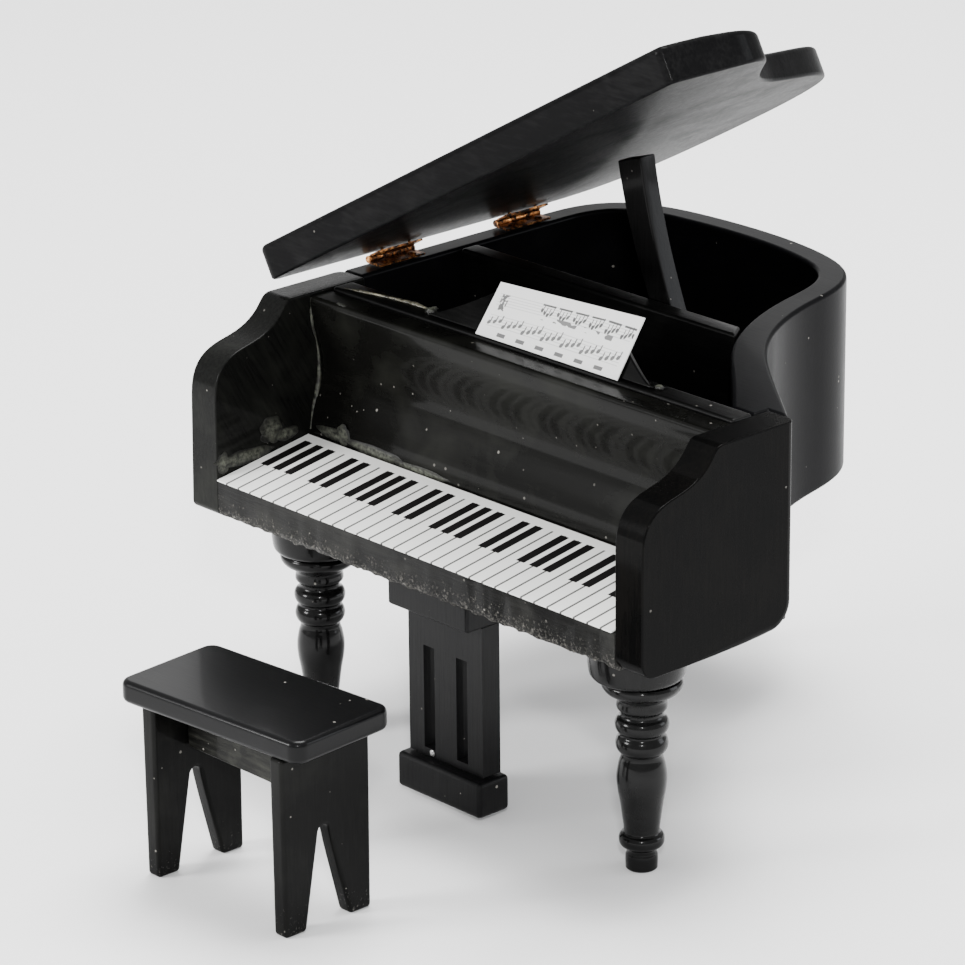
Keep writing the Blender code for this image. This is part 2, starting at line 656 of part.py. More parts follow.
def build_stool(material, stool):
    half_x, half_y = SEAT_SIZE[0] / 2, SEAT_SIZE[1] / 2
    corner = SEAT_CORNER_R
    outline = []
    for sx, sy, start in ((1, 1, 0), (-1, 1, 90), (-1, -1, 180), (1, -1, 270)):
        centre = (sx * (half_x - corner), sy * (half_y - corner))
        outline += arc(centre, corner, start, start + 90, 4)
    seat = flat_board("stool_seat", outline, STOOL_HEIGHT - SEAT_THICK, STOOL_HEIGHT,
                      material, stool)
    seat.location = (0.5 * MM, -0.4 * MM, 0)
    seat.rotation_euler = (0, 0, SEAT_TURN)
    soften(seat, 0.9 * MM, 2, 60)
    outer = STOOL_END_SPAN / 2
    for label, low_x in (("bass", -outer), ("treble", outer - STOOL_END_THICK)):
        end = side_board("stool_end_" + label, stool_end_profile(), low_x,
                         low_x + STOOL_END_THICK, material, stool)
        soften(end, 0.4 * MM, 1)
    front = -STOOL_END_DEPTH / 2 + APRON_SETBACK
    reach = outer - STOOL_END_THICK - GAP
    top = STOOL_HEIGHT - SEAT_THICK - GAP
    apron = block("stool_apron", (-reach, front, top - APRON_HEIGHT), (reach, front + 3 * MM, top),
                  material, stool)
    soften(apron, 0.3 * MM, 1)


# ---------------------------------------------------------------- assembly

def stand_on_origin(root):
    """Move the set so that the middle of its outer box stands over the origin."""
    bpy.context.view_layer.update()
    graph = bpy.context.evaluated_depsgraph_get()
    corners = []
    for piece in bpy.data.objects:
        if piece.type == "MESH" and piece not in CUTTERS:
            shaped = piece.evaluated_get(graph)
            corners += [shaped.matrix_world @ vertex.co for vertex in shaped.data.vertices]
    middle = [(min(c[i] for c in corners) + max(c[i] for c in corners)) / 2 for i in (0, 1)]
    root.location = (-middle[0], -middle[1], 0)


def main():
    clear_scene()
    lacquer = make_material("black_lacquer", (0.012, 0.012, 0.013), 0.32)
    board = make_material("black_board", (0.02, 0.02, 0.021), 0.5)
    card = make_material("white_card", (0.86, 0.86, 0.84), 0.55)
    brass = make_material("hinge_brass", (0.62, 0.33, 0.14), 0.38, 1.0)
    steel = make_material("nail_steel", (0.45, 0.45, 0.46), 0.35, 1.0)

    root = add_empty("piano", (0, 0, 0), None)
    fixed = add_empty("hinge_line", (HINGE_X, 0, HINGE_Z), root)
    hinge = add_empty("lid_pivot", (HINGE_X, 0, HINGE_Z), root)
    hinge.rotation_euler = (0, -LID_OPEN, 0)
    pivot = add_empty("prop_pivot", PROP_PIVOT, root)
    pivot.rotation_euler = (0, -PROP_LEAN, 0)
    stool = add_empty("stool", (*STOOL_CENTRE, 0), root)

    inner = build_rim(lacquer, root)
    build_bottom(inner, board, root)
    build_cheek("bass_cheek", 0.0, 0.0, 1.4 * MM, lacquer, root)
    build_cheek("treble_cheek", CASE_WIDTH - CHEEK_THICK, CASE_WIDTH, 3.0 * MM, lacquer, root)
    build_keybed(lacquer, root)
    build_key_sheet(card, root)
    build_fallboard(lacquer, root)
    build_desk_rail(lacquer, root)
    build_cross_rail(inner, board, root)
    build_music_desk(lacquer, card, root)
    build_lid(lacquer, hinge)
    build_hinges(brass, root, fixed, hinge)
    build_prop(lacquer, steel, root, pivot)
    build_legs(lacquer, root)
    build_lyre(lacquer, steel, root)
    build_stool(lacquer, stool)
    stand_on_origin(root)


main()
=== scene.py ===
"""Dolls'-house grand piano in black lacquer, with its stool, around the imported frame."""

import math
from functools import partial

import bpy
from mathutils import Matrix, Vector, noise


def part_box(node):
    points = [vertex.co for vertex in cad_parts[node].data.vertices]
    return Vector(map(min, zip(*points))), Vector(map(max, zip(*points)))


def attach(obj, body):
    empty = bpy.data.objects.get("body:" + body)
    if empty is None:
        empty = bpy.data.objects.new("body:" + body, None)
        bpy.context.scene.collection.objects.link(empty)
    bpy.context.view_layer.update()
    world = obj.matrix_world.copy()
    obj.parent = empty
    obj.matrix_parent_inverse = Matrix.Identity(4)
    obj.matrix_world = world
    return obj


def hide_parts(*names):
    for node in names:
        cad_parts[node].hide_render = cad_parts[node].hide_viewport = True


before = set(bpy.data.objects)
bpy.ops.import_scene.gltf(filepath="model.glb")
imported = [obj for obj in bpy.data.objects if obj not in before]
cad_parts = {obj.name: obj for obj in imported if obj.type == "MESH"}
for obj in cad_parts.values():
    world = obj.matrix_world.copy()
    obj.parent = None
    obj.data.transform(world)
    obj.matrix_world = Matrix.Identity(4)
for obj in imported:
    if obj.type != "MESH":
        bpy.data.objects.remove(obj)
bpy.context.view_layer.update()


# ---------------------------------------------------------------- studio
# A pale sweep of paper under and behind the toy, a large soft window to its right
# and rear, and weaker light from above and from the player's side.

def blank_material(name):
    """A new material, with its node tree and its shader."""
    made = bpy.data.materials.new(name)
    made.use_nodes = True
    return made, made.node_tree, made.node_tree.nodes["Principled BSDF"]


def set_sockets(shader, values):
    """Give a node's own sockets their plain values."""
    for key, value in values.items():
        shader.inputs[key].default_value = value


bpy.ops.object.select_all(action="DESELECT")
bpy.ops.mesh.primitive_plane_add(size=6.0, location=(0, 0, 0))
floor = bpy.context.active_object
floor.name = "studio_floor"
paper, _, paper_shader = blank_material("studio_paper")
set_sockets(paper_shader, {"Base Color": (0.93, 0.93, 0.93, 1), "Roughness": 0.9,
                           "Specular IOR Level": 0.0})
floor.data.materials.append(paper)

world = bpy.data.worlds.new("studio_air")
bpy.context.scene.world = world
world.use_nodes = True
set_sockets(world.node_tree.nodes["Background"], {"Color": (1.0, 1.0, 1.0, 1), "Strength": 0.9})


def soft_light(name, place, aim, width, height, watts, tint=(1, 1, 1)):
    """A rectangular soft light at one point, turned to face another."""
    lamp = bpy.data.lights.new(name, "AREA")
    lamp.shape, lamp.size, lamp.size_y = "RECTANGLE", width, height
    lamp.energy, lamp.color = watts, tint
    holder = bpy.data.objects.new(name, lamp)
    bpy.context.scene.collection.objects.link(holder)
    holder.location = place
    holder.rotation_euler = (Vector(aim) - Vector(place)).to_track_quat("-Z", "Y").to_euler()


soft_light("window_right_rear", place=(0.62, 0.85, 0.34), aim=(0.0, 0.0, 0.06),
           width=0.45, height=0.45, watts=3.4, tint=(0.92, 0.95, 1.0))
soft_light("sky_above", place=(-0.10, 0.25, 0.95), aim=(0, 0, 0.05),
           width=0.6, height=0.6, watts=20.0)
soft_light("fill_left_front", place=(-0.45, -0.85, 0.42), aim=(0, 0, 0.05),
           width=0.3, height=0.3, watts=11.0)
soft_light("backdrop_left_rear", place=(-0.75, 0.68, 0.36), aim=(0, 0, 0.05),
           width=0.55, height=0.4, watts=0.9)
soft_light("lamp_by_the_viewer", place=(0.60, -0.55, 0.50), aim=(0, 0, 0.06),
           width=0.06, height=0.06, watts=4.2)

# Sizes are in millimetres from here on. Every board is measured from the bass cheek's
# front lower corner, at floor level.
MM = 0.001
cheek_corner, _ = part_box("bass_cheek")
ZERO = Vector((cheek_corner.x, cheek_corner.y, 0.0))

AZIMUTH, ELEVATION, ROLL = math.radians(47.30), math.radians(20.06), math.radians(-0.535)
CAMERA_DISTANCE = 0.7328
LOOKED_AT = (98.548, -22.452, 79.993)
camera_data = bpy.data.cameras.new("camera")
camera = bpy.data.objects.new("camera", camera_data)
bpy.context.scene.collection.objects.link(camera)
bpy.context.scene.camera = camera
away = Vector((math.sin(AZIMUTH) * math.cos(ELEVATION), -math.cos(AZIMUTH) * math.cos(ELEVATION),
               math.sin(ELEVATION)))
camera.matrix_world = (Matrix.Translation(ZERO + Vector(LOOKED_AT) * MM + away * CAMERA_DISTANCE)
                       @ away.to_track_quat("Z", "Y").to_matrix().to_4x4()
                       @ Matrix.Rotation(ROLL, 4, "Z"))
camera_data.sensor_width = 36.0
camera_data.lens = 178.42
camera_data.shift_x = -0.00366
camera_data.shift_y = -0.01306
camera_data.clip_start = 0.01


# ---------------------------------------------------------------- rim
# The wall of the case, bent from one strip of wood, sprayed black and rubbed down.
# Its coat is satin outside and dull inside, with brush streaks on the end grain.

def node(tree, kind, **settings):
    """Add a shader node; each setting is one of its sockets or one of its properties."""
    made = tree.nodes.new(kind)
    for key, value in settings.items():
        if key in made.inputs:
            made.inputs[key].default_value = value
        else:
            setattr(made, key, value)
    return made


def math_node(tree, operation, a, b=None, clamp=False):
    """A Math node's result; a and b are numbers or sockets."""
    made = node(tree, "ShaderNodeMath", operation=operation, use_clamp=clamp)
    for socket, value in zip(made.inputs, (a, b)):
        if isinstance(value, (int, float)):
            socket.default_value = value
        elif value is not None:
            tree.links.new(value, socket)
    return made.outputs[0]


def mix_colours(tree, share, first, second):
    """The mix of two colours, each a socket or a plain colour, by a socket from 0 to 1."""
    made = node(tree, "ShaderNodeMix", data_type="RGBA")
    for key, value in (("Factor", share), ("A", first), ("B", second)):
        if isinstance(value, tuple):
            made.inputs[key].default_value = value
        else:
            tree.links.new(value, made.inputs[key])
    return made.outputs["Result"]


def pattern(tree, where, kind="ShaderNodeTexNoise", **settings):
    """A texture or mapping node that reads the given coordinates."""
    made = node(tree, kind, **settings)
    tree.links.new(where, made.inputs["Vector"])
    return made


def object_place(tree):
    return node(tree, "ShaderNodeTexCoord").outputs["Object"]


def add_relief(tree, shader, height, depth, strength=1.0):
    """Raise the surface by a pattern, at most by a depth in millimetres."""
    relief = node(tree, "ShaderNodeBump", Strength=strength, Distance=depth * MM)
    tree.links.new(height, relief.inputs["Height"])
    tree.links.new(relief.outputs["Normal"], shader.inputs["Normal"])


def lacquer_group():
    """Black paint over wood: grain that shows through, cloudy rubbing marks, dust and chips."""
    tree = bpy.data.node_groups.new("lacquer_skin", "ShaderNodeTree")
    for name, kind, value in (("Vector", "NodeSocketVector", (0, 0, 0)),
                              ("Tone", "NodeSocketColor", (0.012, 0.012, 0.013, 1)),
                              ("Worn Tone", "NodeSocketColor", (0.05, 0.05, 0.045, 1)),
                              ("Grain", "NodeSocketFloat", 0.4), ("Dust", "NodeSocketFloat", 0.4),
                              ("Cloud", "NodeSocketFloat", 0.4), ("Gloss", "NodeSocketFloat", 0.3),
                              ("Scuff", "NodeSocketFloat", 0.0)):
        made = tree.interface.new_socket(name, in_out="INPUT", socket_type=kind)
        made.default_value = value
    for name, kind in (("Color", "NodeSocketColor"), ("Roughness", "NodeSocketFloat"),
                       ("Height", "NodeSocketFloat")):
        tree.interface.new_socket(name, in_out="OUTPUT", socket_type=kind)
    put = tree.nodes.new("NodeGroupInput").outputs
    way_out = tree.nodes.new("NodeGroupOutput").inputs
    link = tree.links.new
    sums = partial(math_node, tree)

    # Every scale is in cycles to the metre.
    grain_scale = (140, 1500, 1500)
    haze_scale, speck_scale, chip_scale, pore_scale = 75.0, 620.0, 1900.0, 2600.0
    dust_tone = (0.22, 0.21, 0.19, 1)

    # The grain is noise drawn out along the first axis.
    stretch = pattern(tree, put["Vector"], "ShaderNodeMapping", Scale=grain_scale)
    fibre = pattern(tree, stretch.outputs[0], Scale=1.0, Detail=5.0, Roughness=0.62)
    streak = sums("MULTIPLY", sums("SUBTRACT", fibre.outputs["Fac"], 0.5), put["Grain"])

    # The rubbing marks are broad clouds with a soft edge.
    haze = pattern(tree, put["Vector"], Scale=haze_scale, Detail=4.0, Roughness=0.55,
                   Distortion=0.6)
    cloud = sums("MULTIPLY", sums("SUBTRACT", haze.outputs["Fac"], 0.46), 4.0, True)
    cloud = sums("MULTIPLY", cloud, put["Cloud"])

    # A few cells of a pattern hold a speck of dust, each of its own size and brightness.
    speck = pattern(tree, put["Vector"], "ShaderNodeTexVoronoi", Scale=speck_scale)
    pick = node(tree, "ShaderNodeSeparateColor")
    link(speck.outputs["Color"], pick.inputs["Color"])
    chance, size, light = pick.outputs
    near = sums("LESS_THAN", speck.outputs["Distance"], sums("MULTIPLY", size, 0.17))
    rare = sums("LESS_THAN", chance, sums("MULTIPLY", put["Dust"], 0.26))
    lit = sums("ADD", sums("MULTIPLY", light, 0.7), 0.2)
    dust = sums("MULTIPLY", sums("MULTIPLY", near, rare), lit)

    # Chips spread as the scuffing grows.
    flake = pattern(tree, put["Vector"], Scale=chip_scale, Detail=5.0, Roughness=0.7)
    level = sums("SUBTRACT", 0.72, sums("MULTIPLY", put["Scuff"], 0.25))
    chips = sums("MULTIPLY", sums("SUBTRACT", flake.outputs["Fac"], level), 7.0, True)
    chips = sums("MULTIPLY", chips, sums("MULTIPLY", put["Scuff"], 2.0, True))
    dust = sums("MAXIMUM", dust, chips)

    share = sums("ADD", sums("MULTIPLY", streak, 1.6), cloud, True)
    worn = mix_colours(tree, share, put["Tone"], put["Worn Tone"])
    link(mix_colours(tree, dust, worn, dust_tone), way_out["Color"])

    rough = sums("ADD", put["Gloss"], sums("MULTIPLY", cloud, 0.22))
    rough = sums("ADD", rough, sums("MULTIPLY", streak, 0.3))
    rough = sums("ADD", rough, sums("MULTIPLY", dust, 0.4), True)
    link(rough, way_out["Roughness"])

    pores = pattern(tree, put["Vector"], Scale=pore_scale, Detail=2.0)
    height = sums("ADD", streak, sums("MULTIPLY", pores.outputs["Fac"], 0.12))
    height = sums("ADD", height, sums("MULTIPLY", dust, 1.2))
    link(height, way_out["Height"])
    return tree


LACQUER = lacquer_group()


def lacquer(name, tone, worn, grain=0.4, dust=0.4, cloud=0.4, gloss=0.3, bump=0.06,
            turn=(0, 0, 0), shine=0.06, polish=0.10, scuff=None):
    """A material of black paint on wood, with the grain along the X axis after the turn."""
    made, tree, shader = blank_material(name)
    link = tree.links.new
    place = object_place(tree)
    mapping = pattern(tree, place, "ShaderNodeMapping", Rotation=turn)
    skin = pattern(tree, mapping.outputs[0], "ShaderNodeGroup", node_tree=LACQUER)
    set_sockets(skin, {"Tone": (*tone, 1), "Worn Tone": (*worn, 1), "Grain": grain,
                       "Dust": dust, "Cloud": cloud, "Gloss": gloss})
    if scuff:
        # Paint is lost along one axis, from none at the first place to most at the second.
        axis, none_at, most_at = scuff
        start = ZERO["XYZ".index(axis)]
        split = node(tree, "ShaderNodeSeparateXYZ")
        ramp = node(tree, "ShaderNodeMapRange")
        set_sockets(ramp, {"From Min": start + none_at * MM, "From Max": start + most_at * MM})
        link(place, split.inputs[0])
        link(split.outputs[axis], ramp.inputs["Value"])
        link(ramp.outputs["Result"], skin.inputs["Scuff"])
    link(skin.outputs["Color"], shader.inputs["Base Color"])
    link(skin.outputs["Roughness"], shader.inputs["Roughness"])
    add_relief(tree, shader, skin.outputs["Height"], bump)
    set_sockets(shader, {"Specular IOR Level": shine, "Coat Weight": polish,
                         "Coat Roughness": 0.08})
    return made


def board(name, anchors, plane, low, high, edge, material, steps=10, segments=3, angle=38):
    """Draw a closed Bezier outline in millimetres, fill it, pull it to thickness, round its edges.

    An anchor is (a, b) at a sharp corner, or (a, b, a_in, b_in, a_out, b_out) on a curve.
    plane names the two axes the outline is drawn on; low and high are along the third.
    """
    first, second, third = {"XY": (0, 1, 2), "YZ": (1, 2, 0), "XZ": (0, 2, 1)}[plane]

    def spot(a, b, c=low):
        place = [0.0, 0.0, 0.0]
        place[first], place[second], place[third] = a * MM, b * MM, c * MM
        return ZERO + Vector(place)

    bpy.ops.object.select_all(action="DESELECT")
    bpy.ops.curve.primitive_bezier_curve_add(location=(0, 0, 0))
    drawn = bpy.context.active_object
    drawn.name = name
    drawn.data.name = name
    drawn.data.splines.clear()
    drawn.data.resolution_u = steps
    line = drawn.data.splines.new("BEZIER")
    line.bezier_points.add(len(anchors) - 1)
    for point, anchor in zip(line.bezier_points, anchors):
        point.co = spot(anchor[0], anchor[1])
        if len(anchor) == 2:
            point.handle_left_type = point.handle_right_type = "VECTOR"
        else:
            point.handle_left_type = point.handle_right_type = "FREE"
            point.handle_left = spot(anchor[2], anchor[3])
            point.handle_right = spot(anchor[4], anchor[5])
    line.use_cyclic_u = True
    bpy.ops.object.convert(target="MESH")
    drawn = bpy.context.active_object
    bpy.ops.object.mode_set(mode="EDIT")
    bpy.ops.mesh.select_all(action="SELECT")
    bpy.ops.mesh.remove_doubles(threshold=0.02 * MM)
    bpy.ops.mesh.dissolve_limited(angle_limit=math.radians(0.4))
    bpy.ops.mesh.select_all(action="SELECT")
    bpy.ops.mesh.edge_face_add()
    pull = [0.0, 0.0, 0.0]
    pull[third] = (high - low) * MM
    bpy.ops.mesh.extrude_region_move(TRANSFORM_OT_translate={"value": tuple(pull)})
    bpy.ops.mesh.select_all(action="SELECT")
    bpy.ops.mesh.normals_make_consistent(inside=False)
    bpy.ops.object.mode_set(mode="OBJECT")
    round_edges(drawn, edge, segments, angle)
    drawn.data.materials.clear()
    drawn.data.materials.append(material)
    return drawn


def round_edges(piece, width, segments=3, angle=38):
    """Sand a piece's sharp edges to a small radius and shade it smooth."""
    bpy.ops.object.select_all(action="DESELECT")
    piece.select_set(True)
    bpy.context.view_layer.objects.active = piece
    if width > 0:
        sanding = piece.modifiers.new("sanding", "BEVEL")
        sanding.width = width * MM
        sanding.segments = segments
        sanding.limit_method = "ANGLE"
        sanding.angle_limit = math.radians(angle)
        bpy.ops.object.modifier_apply(modifier="sanding")
    bpy.ops.object.shade_smooth_by_angle(angle=math.radians(angle))
    if width > 0:
        # Flat faces keep their own normal and the rounding takes up the whole turn.
        evening = piece.modifiers.new("evening", "WEIGHTED_NORMAL")
        evening.keep_sharp = True
        bpy.ops.object.modifier_apply(modifier="evening")


def select_edges(piece, wanted):
    """Select just the edges whose two end points pass the test, and stay in edit mode."""
    bpy.ops.object.select_all(action="DESELECT")
    piece.select_set(True)
    bpy.context.view_layer.objects.active = piece
    bpy.ops.object.mode_set(mode="EDIT")
    bpy.ops.mesh.select_mode(type="EDGE")
    bpy.ops.mesh.select_all(action="DESELECT")
    bpy.ops.object.mode_set(mode="OBJECT")
    for edge in piece.data.edges:
        edge.select = wanted(*[(piece.data.vertices[i].co - ZERO) / MM for i in edge.vertices])
    bpy.ops.object.mode_set(mode="EDIT")


def finish_piece(piece, body, slot, *replaced):
    """Let a piece ride on a body and stand for its CAD nodes; the slot is not used."""
    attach(piece, body)
    if replaced:
        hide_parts(*replaced)


CASE_FOOT, CASE_TOP = 41.5, 77.0
rim_paint = lacquer("rim_paint", (0.0028, 0.0028, 0.0032), (0.009, 0.009, 0.0096), grain=0.25,
                    dust=0.25, cloud=0.25, gloss=0.3, bump=0.05, shine=0.015, polish=0.025,
                    scuff=("X", 96.0, 134.0))
rim_line = [
    (0, 34.7), (0, 85, 0, 70, 0, 97), (20, 103.8, 6, 102.4, 34, 105.2),
    (57, 100.4, 48, 104.2, 65.4, 96.8), (69.6, 82, 67.8, 90, 72.4, 69.5),
    (88, 51, 78, 59.6, 95, 45), (108, 34.7, 102, 39.8, 108, 34.7), (103.5, 34.7),
    (103.5, 31.5), (98.6, 31.5, 98.6, 31.5, 94, 36), (83.8, 46.1, 89.5, 41.0, 73.0, 56.0),
    (64.7, 80.9, 67.4, 68.2, 63.1, 87.8), (55, 95.8, 61.5, 92.6, 46.4, 99.2),
    (20.5, 98.8, 34, 100.2, 9.5, 98.0), (5, 85, 5, 94.6, 5, 70), (5, 34.7)]
rim = board("bent_rim", rim_line, "XY", CASE_FOOT, CASE_TOP, 0.8, rim_paint, steps=12)
finish_piece(rim, "case", "black_lacquer", "rim")


def paint_node(name, material):
    """Give a CAD node that keeps its own shape a finish of its own."""
    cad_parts[name].data.materials.clear()
    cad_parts[name].data.materials.append(material)


board_paint = lacquer("inner_board_paint", (0.002, 0.002, 0.002), (0.006, 0.006, 0.0056),
                      grain=0.5, dust=0.6, cloud=0.4, gloss=0.5, bump=0.08)
paint_node("bottom_board", board_paint)


# ---------------------------------------------------------------- cheeks
# Two thick boards sawn to an S-curve in front, sanded round and painted; the sprayed
# edges catch the light, and the saw marks show through the paint on the front.

ALONG_HEIGHT = (0, math.radians(90), 0)
# Both cheeks wear the same black paint. The bass cheek's tone is raised as painted light on its
# inner face, and the treble cheek's is lowered as painted shade on its outer face; the dust specks
# are real.
bass_cheek_lit_paint = lacquer("bass_cheek_lit_paint", (0.0042, 0.0043, 0.004), (0.019, 0.02, 0.0165),
                           grain=0.5, dust=1.2, cloud=0.35, gloss=0.28, bump=0.09,
                           turn=(math.radians(60), 0, math.radians(90)), shine=0.025, polish=0.09)
treble_cheek_shaded_paint = lacquer("treble_cheek_shaded_paint", (0.0018, 0.0018, 0.0018),
                             (0.007, 0.006, 0.005), grain=0.4, dust=0.04, cloud=0.25,
                             gloss=0.24, bump=0.05, turn=ALONG_HEIGHT, shine=0.012, polish=0.06)
CHEEK_BACK = 34.4
TOUCHING = 0.01


def cheek(name, low, high, foot_round, top_out, bottom_out, paint, replaced):
    """A cheek from low to high, whose outer face leans from top_out down to bottom_out."""
    pull = foot_round * 0.45
    line = [(foot_round, CASE_FOOT, foot_round + 2, CASE_FOOT, pull, CASE_FOOT),
            (0, CASE_FOOT + foot_round, 0, CASE_FOOT + pull, 0, 48), (0, 62.3, 0, 58, 0, 68.6),
            (7.6, 70.9, 3.4, 70.0, 12.4, 71.9), (15.6, 75.6, 14.2, 73.6, 16.2, 76.5),
            (17.9, CASE_TOP, 16.8, CASE_TOP, 20, CASE_TOP), (CHEEK_BACK, CASE_TOP),
            (CHEEK_BACK, 46.3, CHEEK_BACK, 50, CHEEK_BACK, 43.8),
            (29.6, CASE_FOOT, 32.2, CASE_FOOT, 25, CASE_FOOT)]
    piece = board(name, line, "YZ", low, high, 0.0, paint)
    outer = ZERO.x + top_out * MM
    for vertex in piece.data.vertices:
        if abs(vertex.co.x - outer) < TOUCHING * MM:
            share = (CASE_TOP * MM - vertex.co.z) / ((CASE_TOP - CASE_FOOT) * MM)
            vertex.co.x += (bottom_out - top_out) * MM * share

    # The back edge of the outer face is rounded more than the rest, down round its foot.
    outside, lean_room = (outer - ZERO.x) / MM, 1.2
    back, foot_start, below_top = 34.3, 29.0, 76.5
    select_edges(piece, lambda *ends: all(
        abs(end.x - outside) < lean_room
        and (end.y > back or end.y > foot_start and end.z < below_top) for end in ends))
    bpy.ops.mesh.bevel(offset=1.7 * MM, segments=5, affect="EDGES")
    bpy.ops.object.mode_set(mode="OBJECT")
    round_edges(piece, 0.75, 4)
    finish_piece(piece, "case", "black_lacquer", replaced)


cheek("bass_cheek_board", low=0.0, high=6.2, foot_round=1.4, top_out=0.0, bottom_out=-0.8,
      paint=bass_cheek_lit_paint, replaced="bass_cheek")
cheek("treble_cheek_board", low=103.8, high=110.0, foot_round=3.0, top_out=110.0,
      bottom_out=110.0, paint=treble_cheek_shaded_paint, replaced="treble_cheek")


# ---------------------------------------------------------------- keybed
# The solid wooden front of the case, glued between the cheeks and sloping up to the
# back for the keyboard. Its front is left rough from the saw under the paint.

keybed_paint = lacquer("keybed_paint", (0.004, 0.004, 0.0038), (0.024, 0.024, 0.022), grain=0.7,
                       dust=0.8, cloud=1.0, gloss=0.46, bump=0.25, scuff=("Z", 48.6, 41.8))
keybed_line = [(1.4, CASE_FOOT, 3, CASE_FOOT, 0.6, CASE_FOOT), (0, 43, 0, 42.2, 0, 44),
               (0, 47.9), (21.0, 51.2), (31.2, 51.2), (31.2, CASE_FOOT)]
keybed = board("keybed_block", keybed_line, "YZ", 6.25, 103.75, 0.0, keybed_paint)
# The long edges are cut into short lengths, and the lower front one is left ragged.
LONG_EDGE = 50
select_edges(keybed, lambda one, other: abs(one.x - other.x) > LONG_EDGE)
bpy.ops.mesh.subdivide(number_cuts=240)
bpy.ops.object.mode_set(mode="OBJECT")
ROUGH_DEPTH, ROUGH_TOP, ROUGH_START, ROUGH_END = 2.0, 43.6, 7, 103
for vertex in keybed.data.vertices:
    y, z = (vertex.co.y - ZERO.y) / MM, vertex.co.z / MM
    between_ends = ROUGH_START * MM < vertex.co.x - ZERO.x < ROUGH_END * MM
    if y < ROUGH_DEPTH and z < ROUGH_TOP and between_ends:
        ragged = noise.noise(vertex.co * 900) + 0.6 * noise.noise(vertex.co * 2300)
        vertex.co.z += (0.10 + 0.30 * ragged) * MM
        vertex.co.y += (0.10 + 0.25 * ragged) * MM
bpy.ops.object.shade_smooth_by_angle(angle=math.radians(50))
finish_piece(keybed, "case", "black_lacquer", "keybed")


# ---------------------------------------------------------------- keyboard
# One strip of white card, printed with grey lines between the white keys and solid
# black bars for the others, glued down on the sloping keybed.

KEYS_START, WHITE_KEY = 5.93, 3.064
BLACK_FRONT, BLACK_BACK, LINE_BACK = 8.1, 18.4, 18.5
BLACK_HALF_WIDTH, LINE_HALF_WIDTH = 0.315, 0.075
PER_METRE = 1000


def printed_keys():
    """Across the card one unit is a white key; from front to back one unit is a millimetre."""
    made, tree, shader = blank_material("printed_keys")
    link = tree.links.new
    sums = partial(math_node, tree)
    place = object_place(tree)
    shift = pattern(tree, place, "ShaderNodeMapping",
                    Location=(-(ZERO.x + KEYS_START * MM) * PER_METRE / WHITE_KEY,
                              -ZERO.y * PER_METRE, 0),
                    Scale=(PER_METRE / WHITE_KEY, PER_METRE, PER_METRE))
    split = node(tree, "ShaderNodeSeparateXYZ")
    link(shift.outputs[0], split.inputs[0])
    along, deep = split.outputs["X"], split.outputs["Y"]
    octave = sums("FLOORED_MODULO", along, 7.0)
    nearest = sums("ROUND", octave)
    offset = sums("ABSOLUTE", sums("SUBTRACT", octave, nearest))
    black = sums("LESS_THAN", offset, BLACK_HALF_WIDTH)
    for no_black in (0.0, 4.0, 7.0):
        far = sums("ABSOLUTE", sums("SUBTRACT", nearest, no_black))
        black = sums("MULTIPLY", black, sums("GREATER_THAN", far, 0.5))
    black = sums("MULTIPLY", black, sums("GREATER_THAN", deep, BLACK_FRONT))
    black = sums("MULTIPLY", black, sums("LESS_THAN", deep, BLACK_BACK))
    line = sums("MULTIPLY", sums("LESS_THAN", offset, LINE_HALF_WIDTH), 0.90)
    line = sums("MULTIPLY", line, sums("LESS_THAN", deep, LINE_BACK))
    ink = sums("MAXIMUM", line, black)
    fibre = pattern(tree, place, Scale=900.0, Detail=4.0)
    stain = pattern(tree, place, Scale=60.0, Detail=3.0)
    card = mix_colours(tree, stain.outputs["Fac"], (0.83, 0.83, 0.81, 1), (0.76, 0.76, 0.73, 1))
    link(mix_colours(tree, ink, card, (0.004, 0.0035, 0.0035, 1)), shader.inputs["Base Color"])
    set_sockets(shader, {"Roughness": 0.55, "Specular IOR Level": 0.12})
    add_relief(tree, shader, fibre.outputs["Fac"], 0.02, 0.4)
    return made


card_line = [(-0.3, 48.15), (20.5, 51.42), (20.5, 51.67), (-0.3, 48.4)]
keys = board("keyboard_card", card_line, "YZ", 6.4, 103.3, 0.05, printed_keys(), segments=2)
finish_piece(keys, "case", "white_card", "key_sheet")


# ---------------------------------------------------------------- fallboard
# A moulded strip, hollowed in front and glued between the cheeks. It is polished
# brighter than the rest and shows every speck of dust.

fallboard_paint = lacquer("fallboard_paint", (0.0032, 0.0032, 0.0028), (0.014, 0.0145, 0.012),
                          grain=0.22, dust=1.0, cloud=0.5, gloss=0.26, bump=0.035,
                          shine=0.045, polish=0.12)
fall_line = [(22.4, 76.6, 23, 76.6, 21.9, 76.6), (21.5, 75.4, 21.5, 76.2, 21.7, 71.5),
             (23.9, 63.2, 23.9, 67.5, 23.9, 60.0), (21.0, 51.5, 21.0, 57.0, 21.0, 51.5),
             (26.3, 51.5), (26.3, 76.6)]
fallboard = board("fallboard_moulding", fall_line, "YZ", 6.5, 103.5, 0.2, fallboard_paint,
                  steps=14)
finish_piece(fallboard, "case", "black_lacquer", "fallboard")


# ---------------------------------------------------------------- rails
# Two square wooden strips glued across the case, one under the music desk and one in
# the middle. The middle one stops short of the bent side, with its end cut on a slant.

rail_paint = lacquer("rail_paint", (0.0024, 0.0024, 0.0024), (0.009, 0.009, 0.0084), grain=0.5,
                     dust=0.6, cloud=0.4, gloss=0.3, bump=0.08)


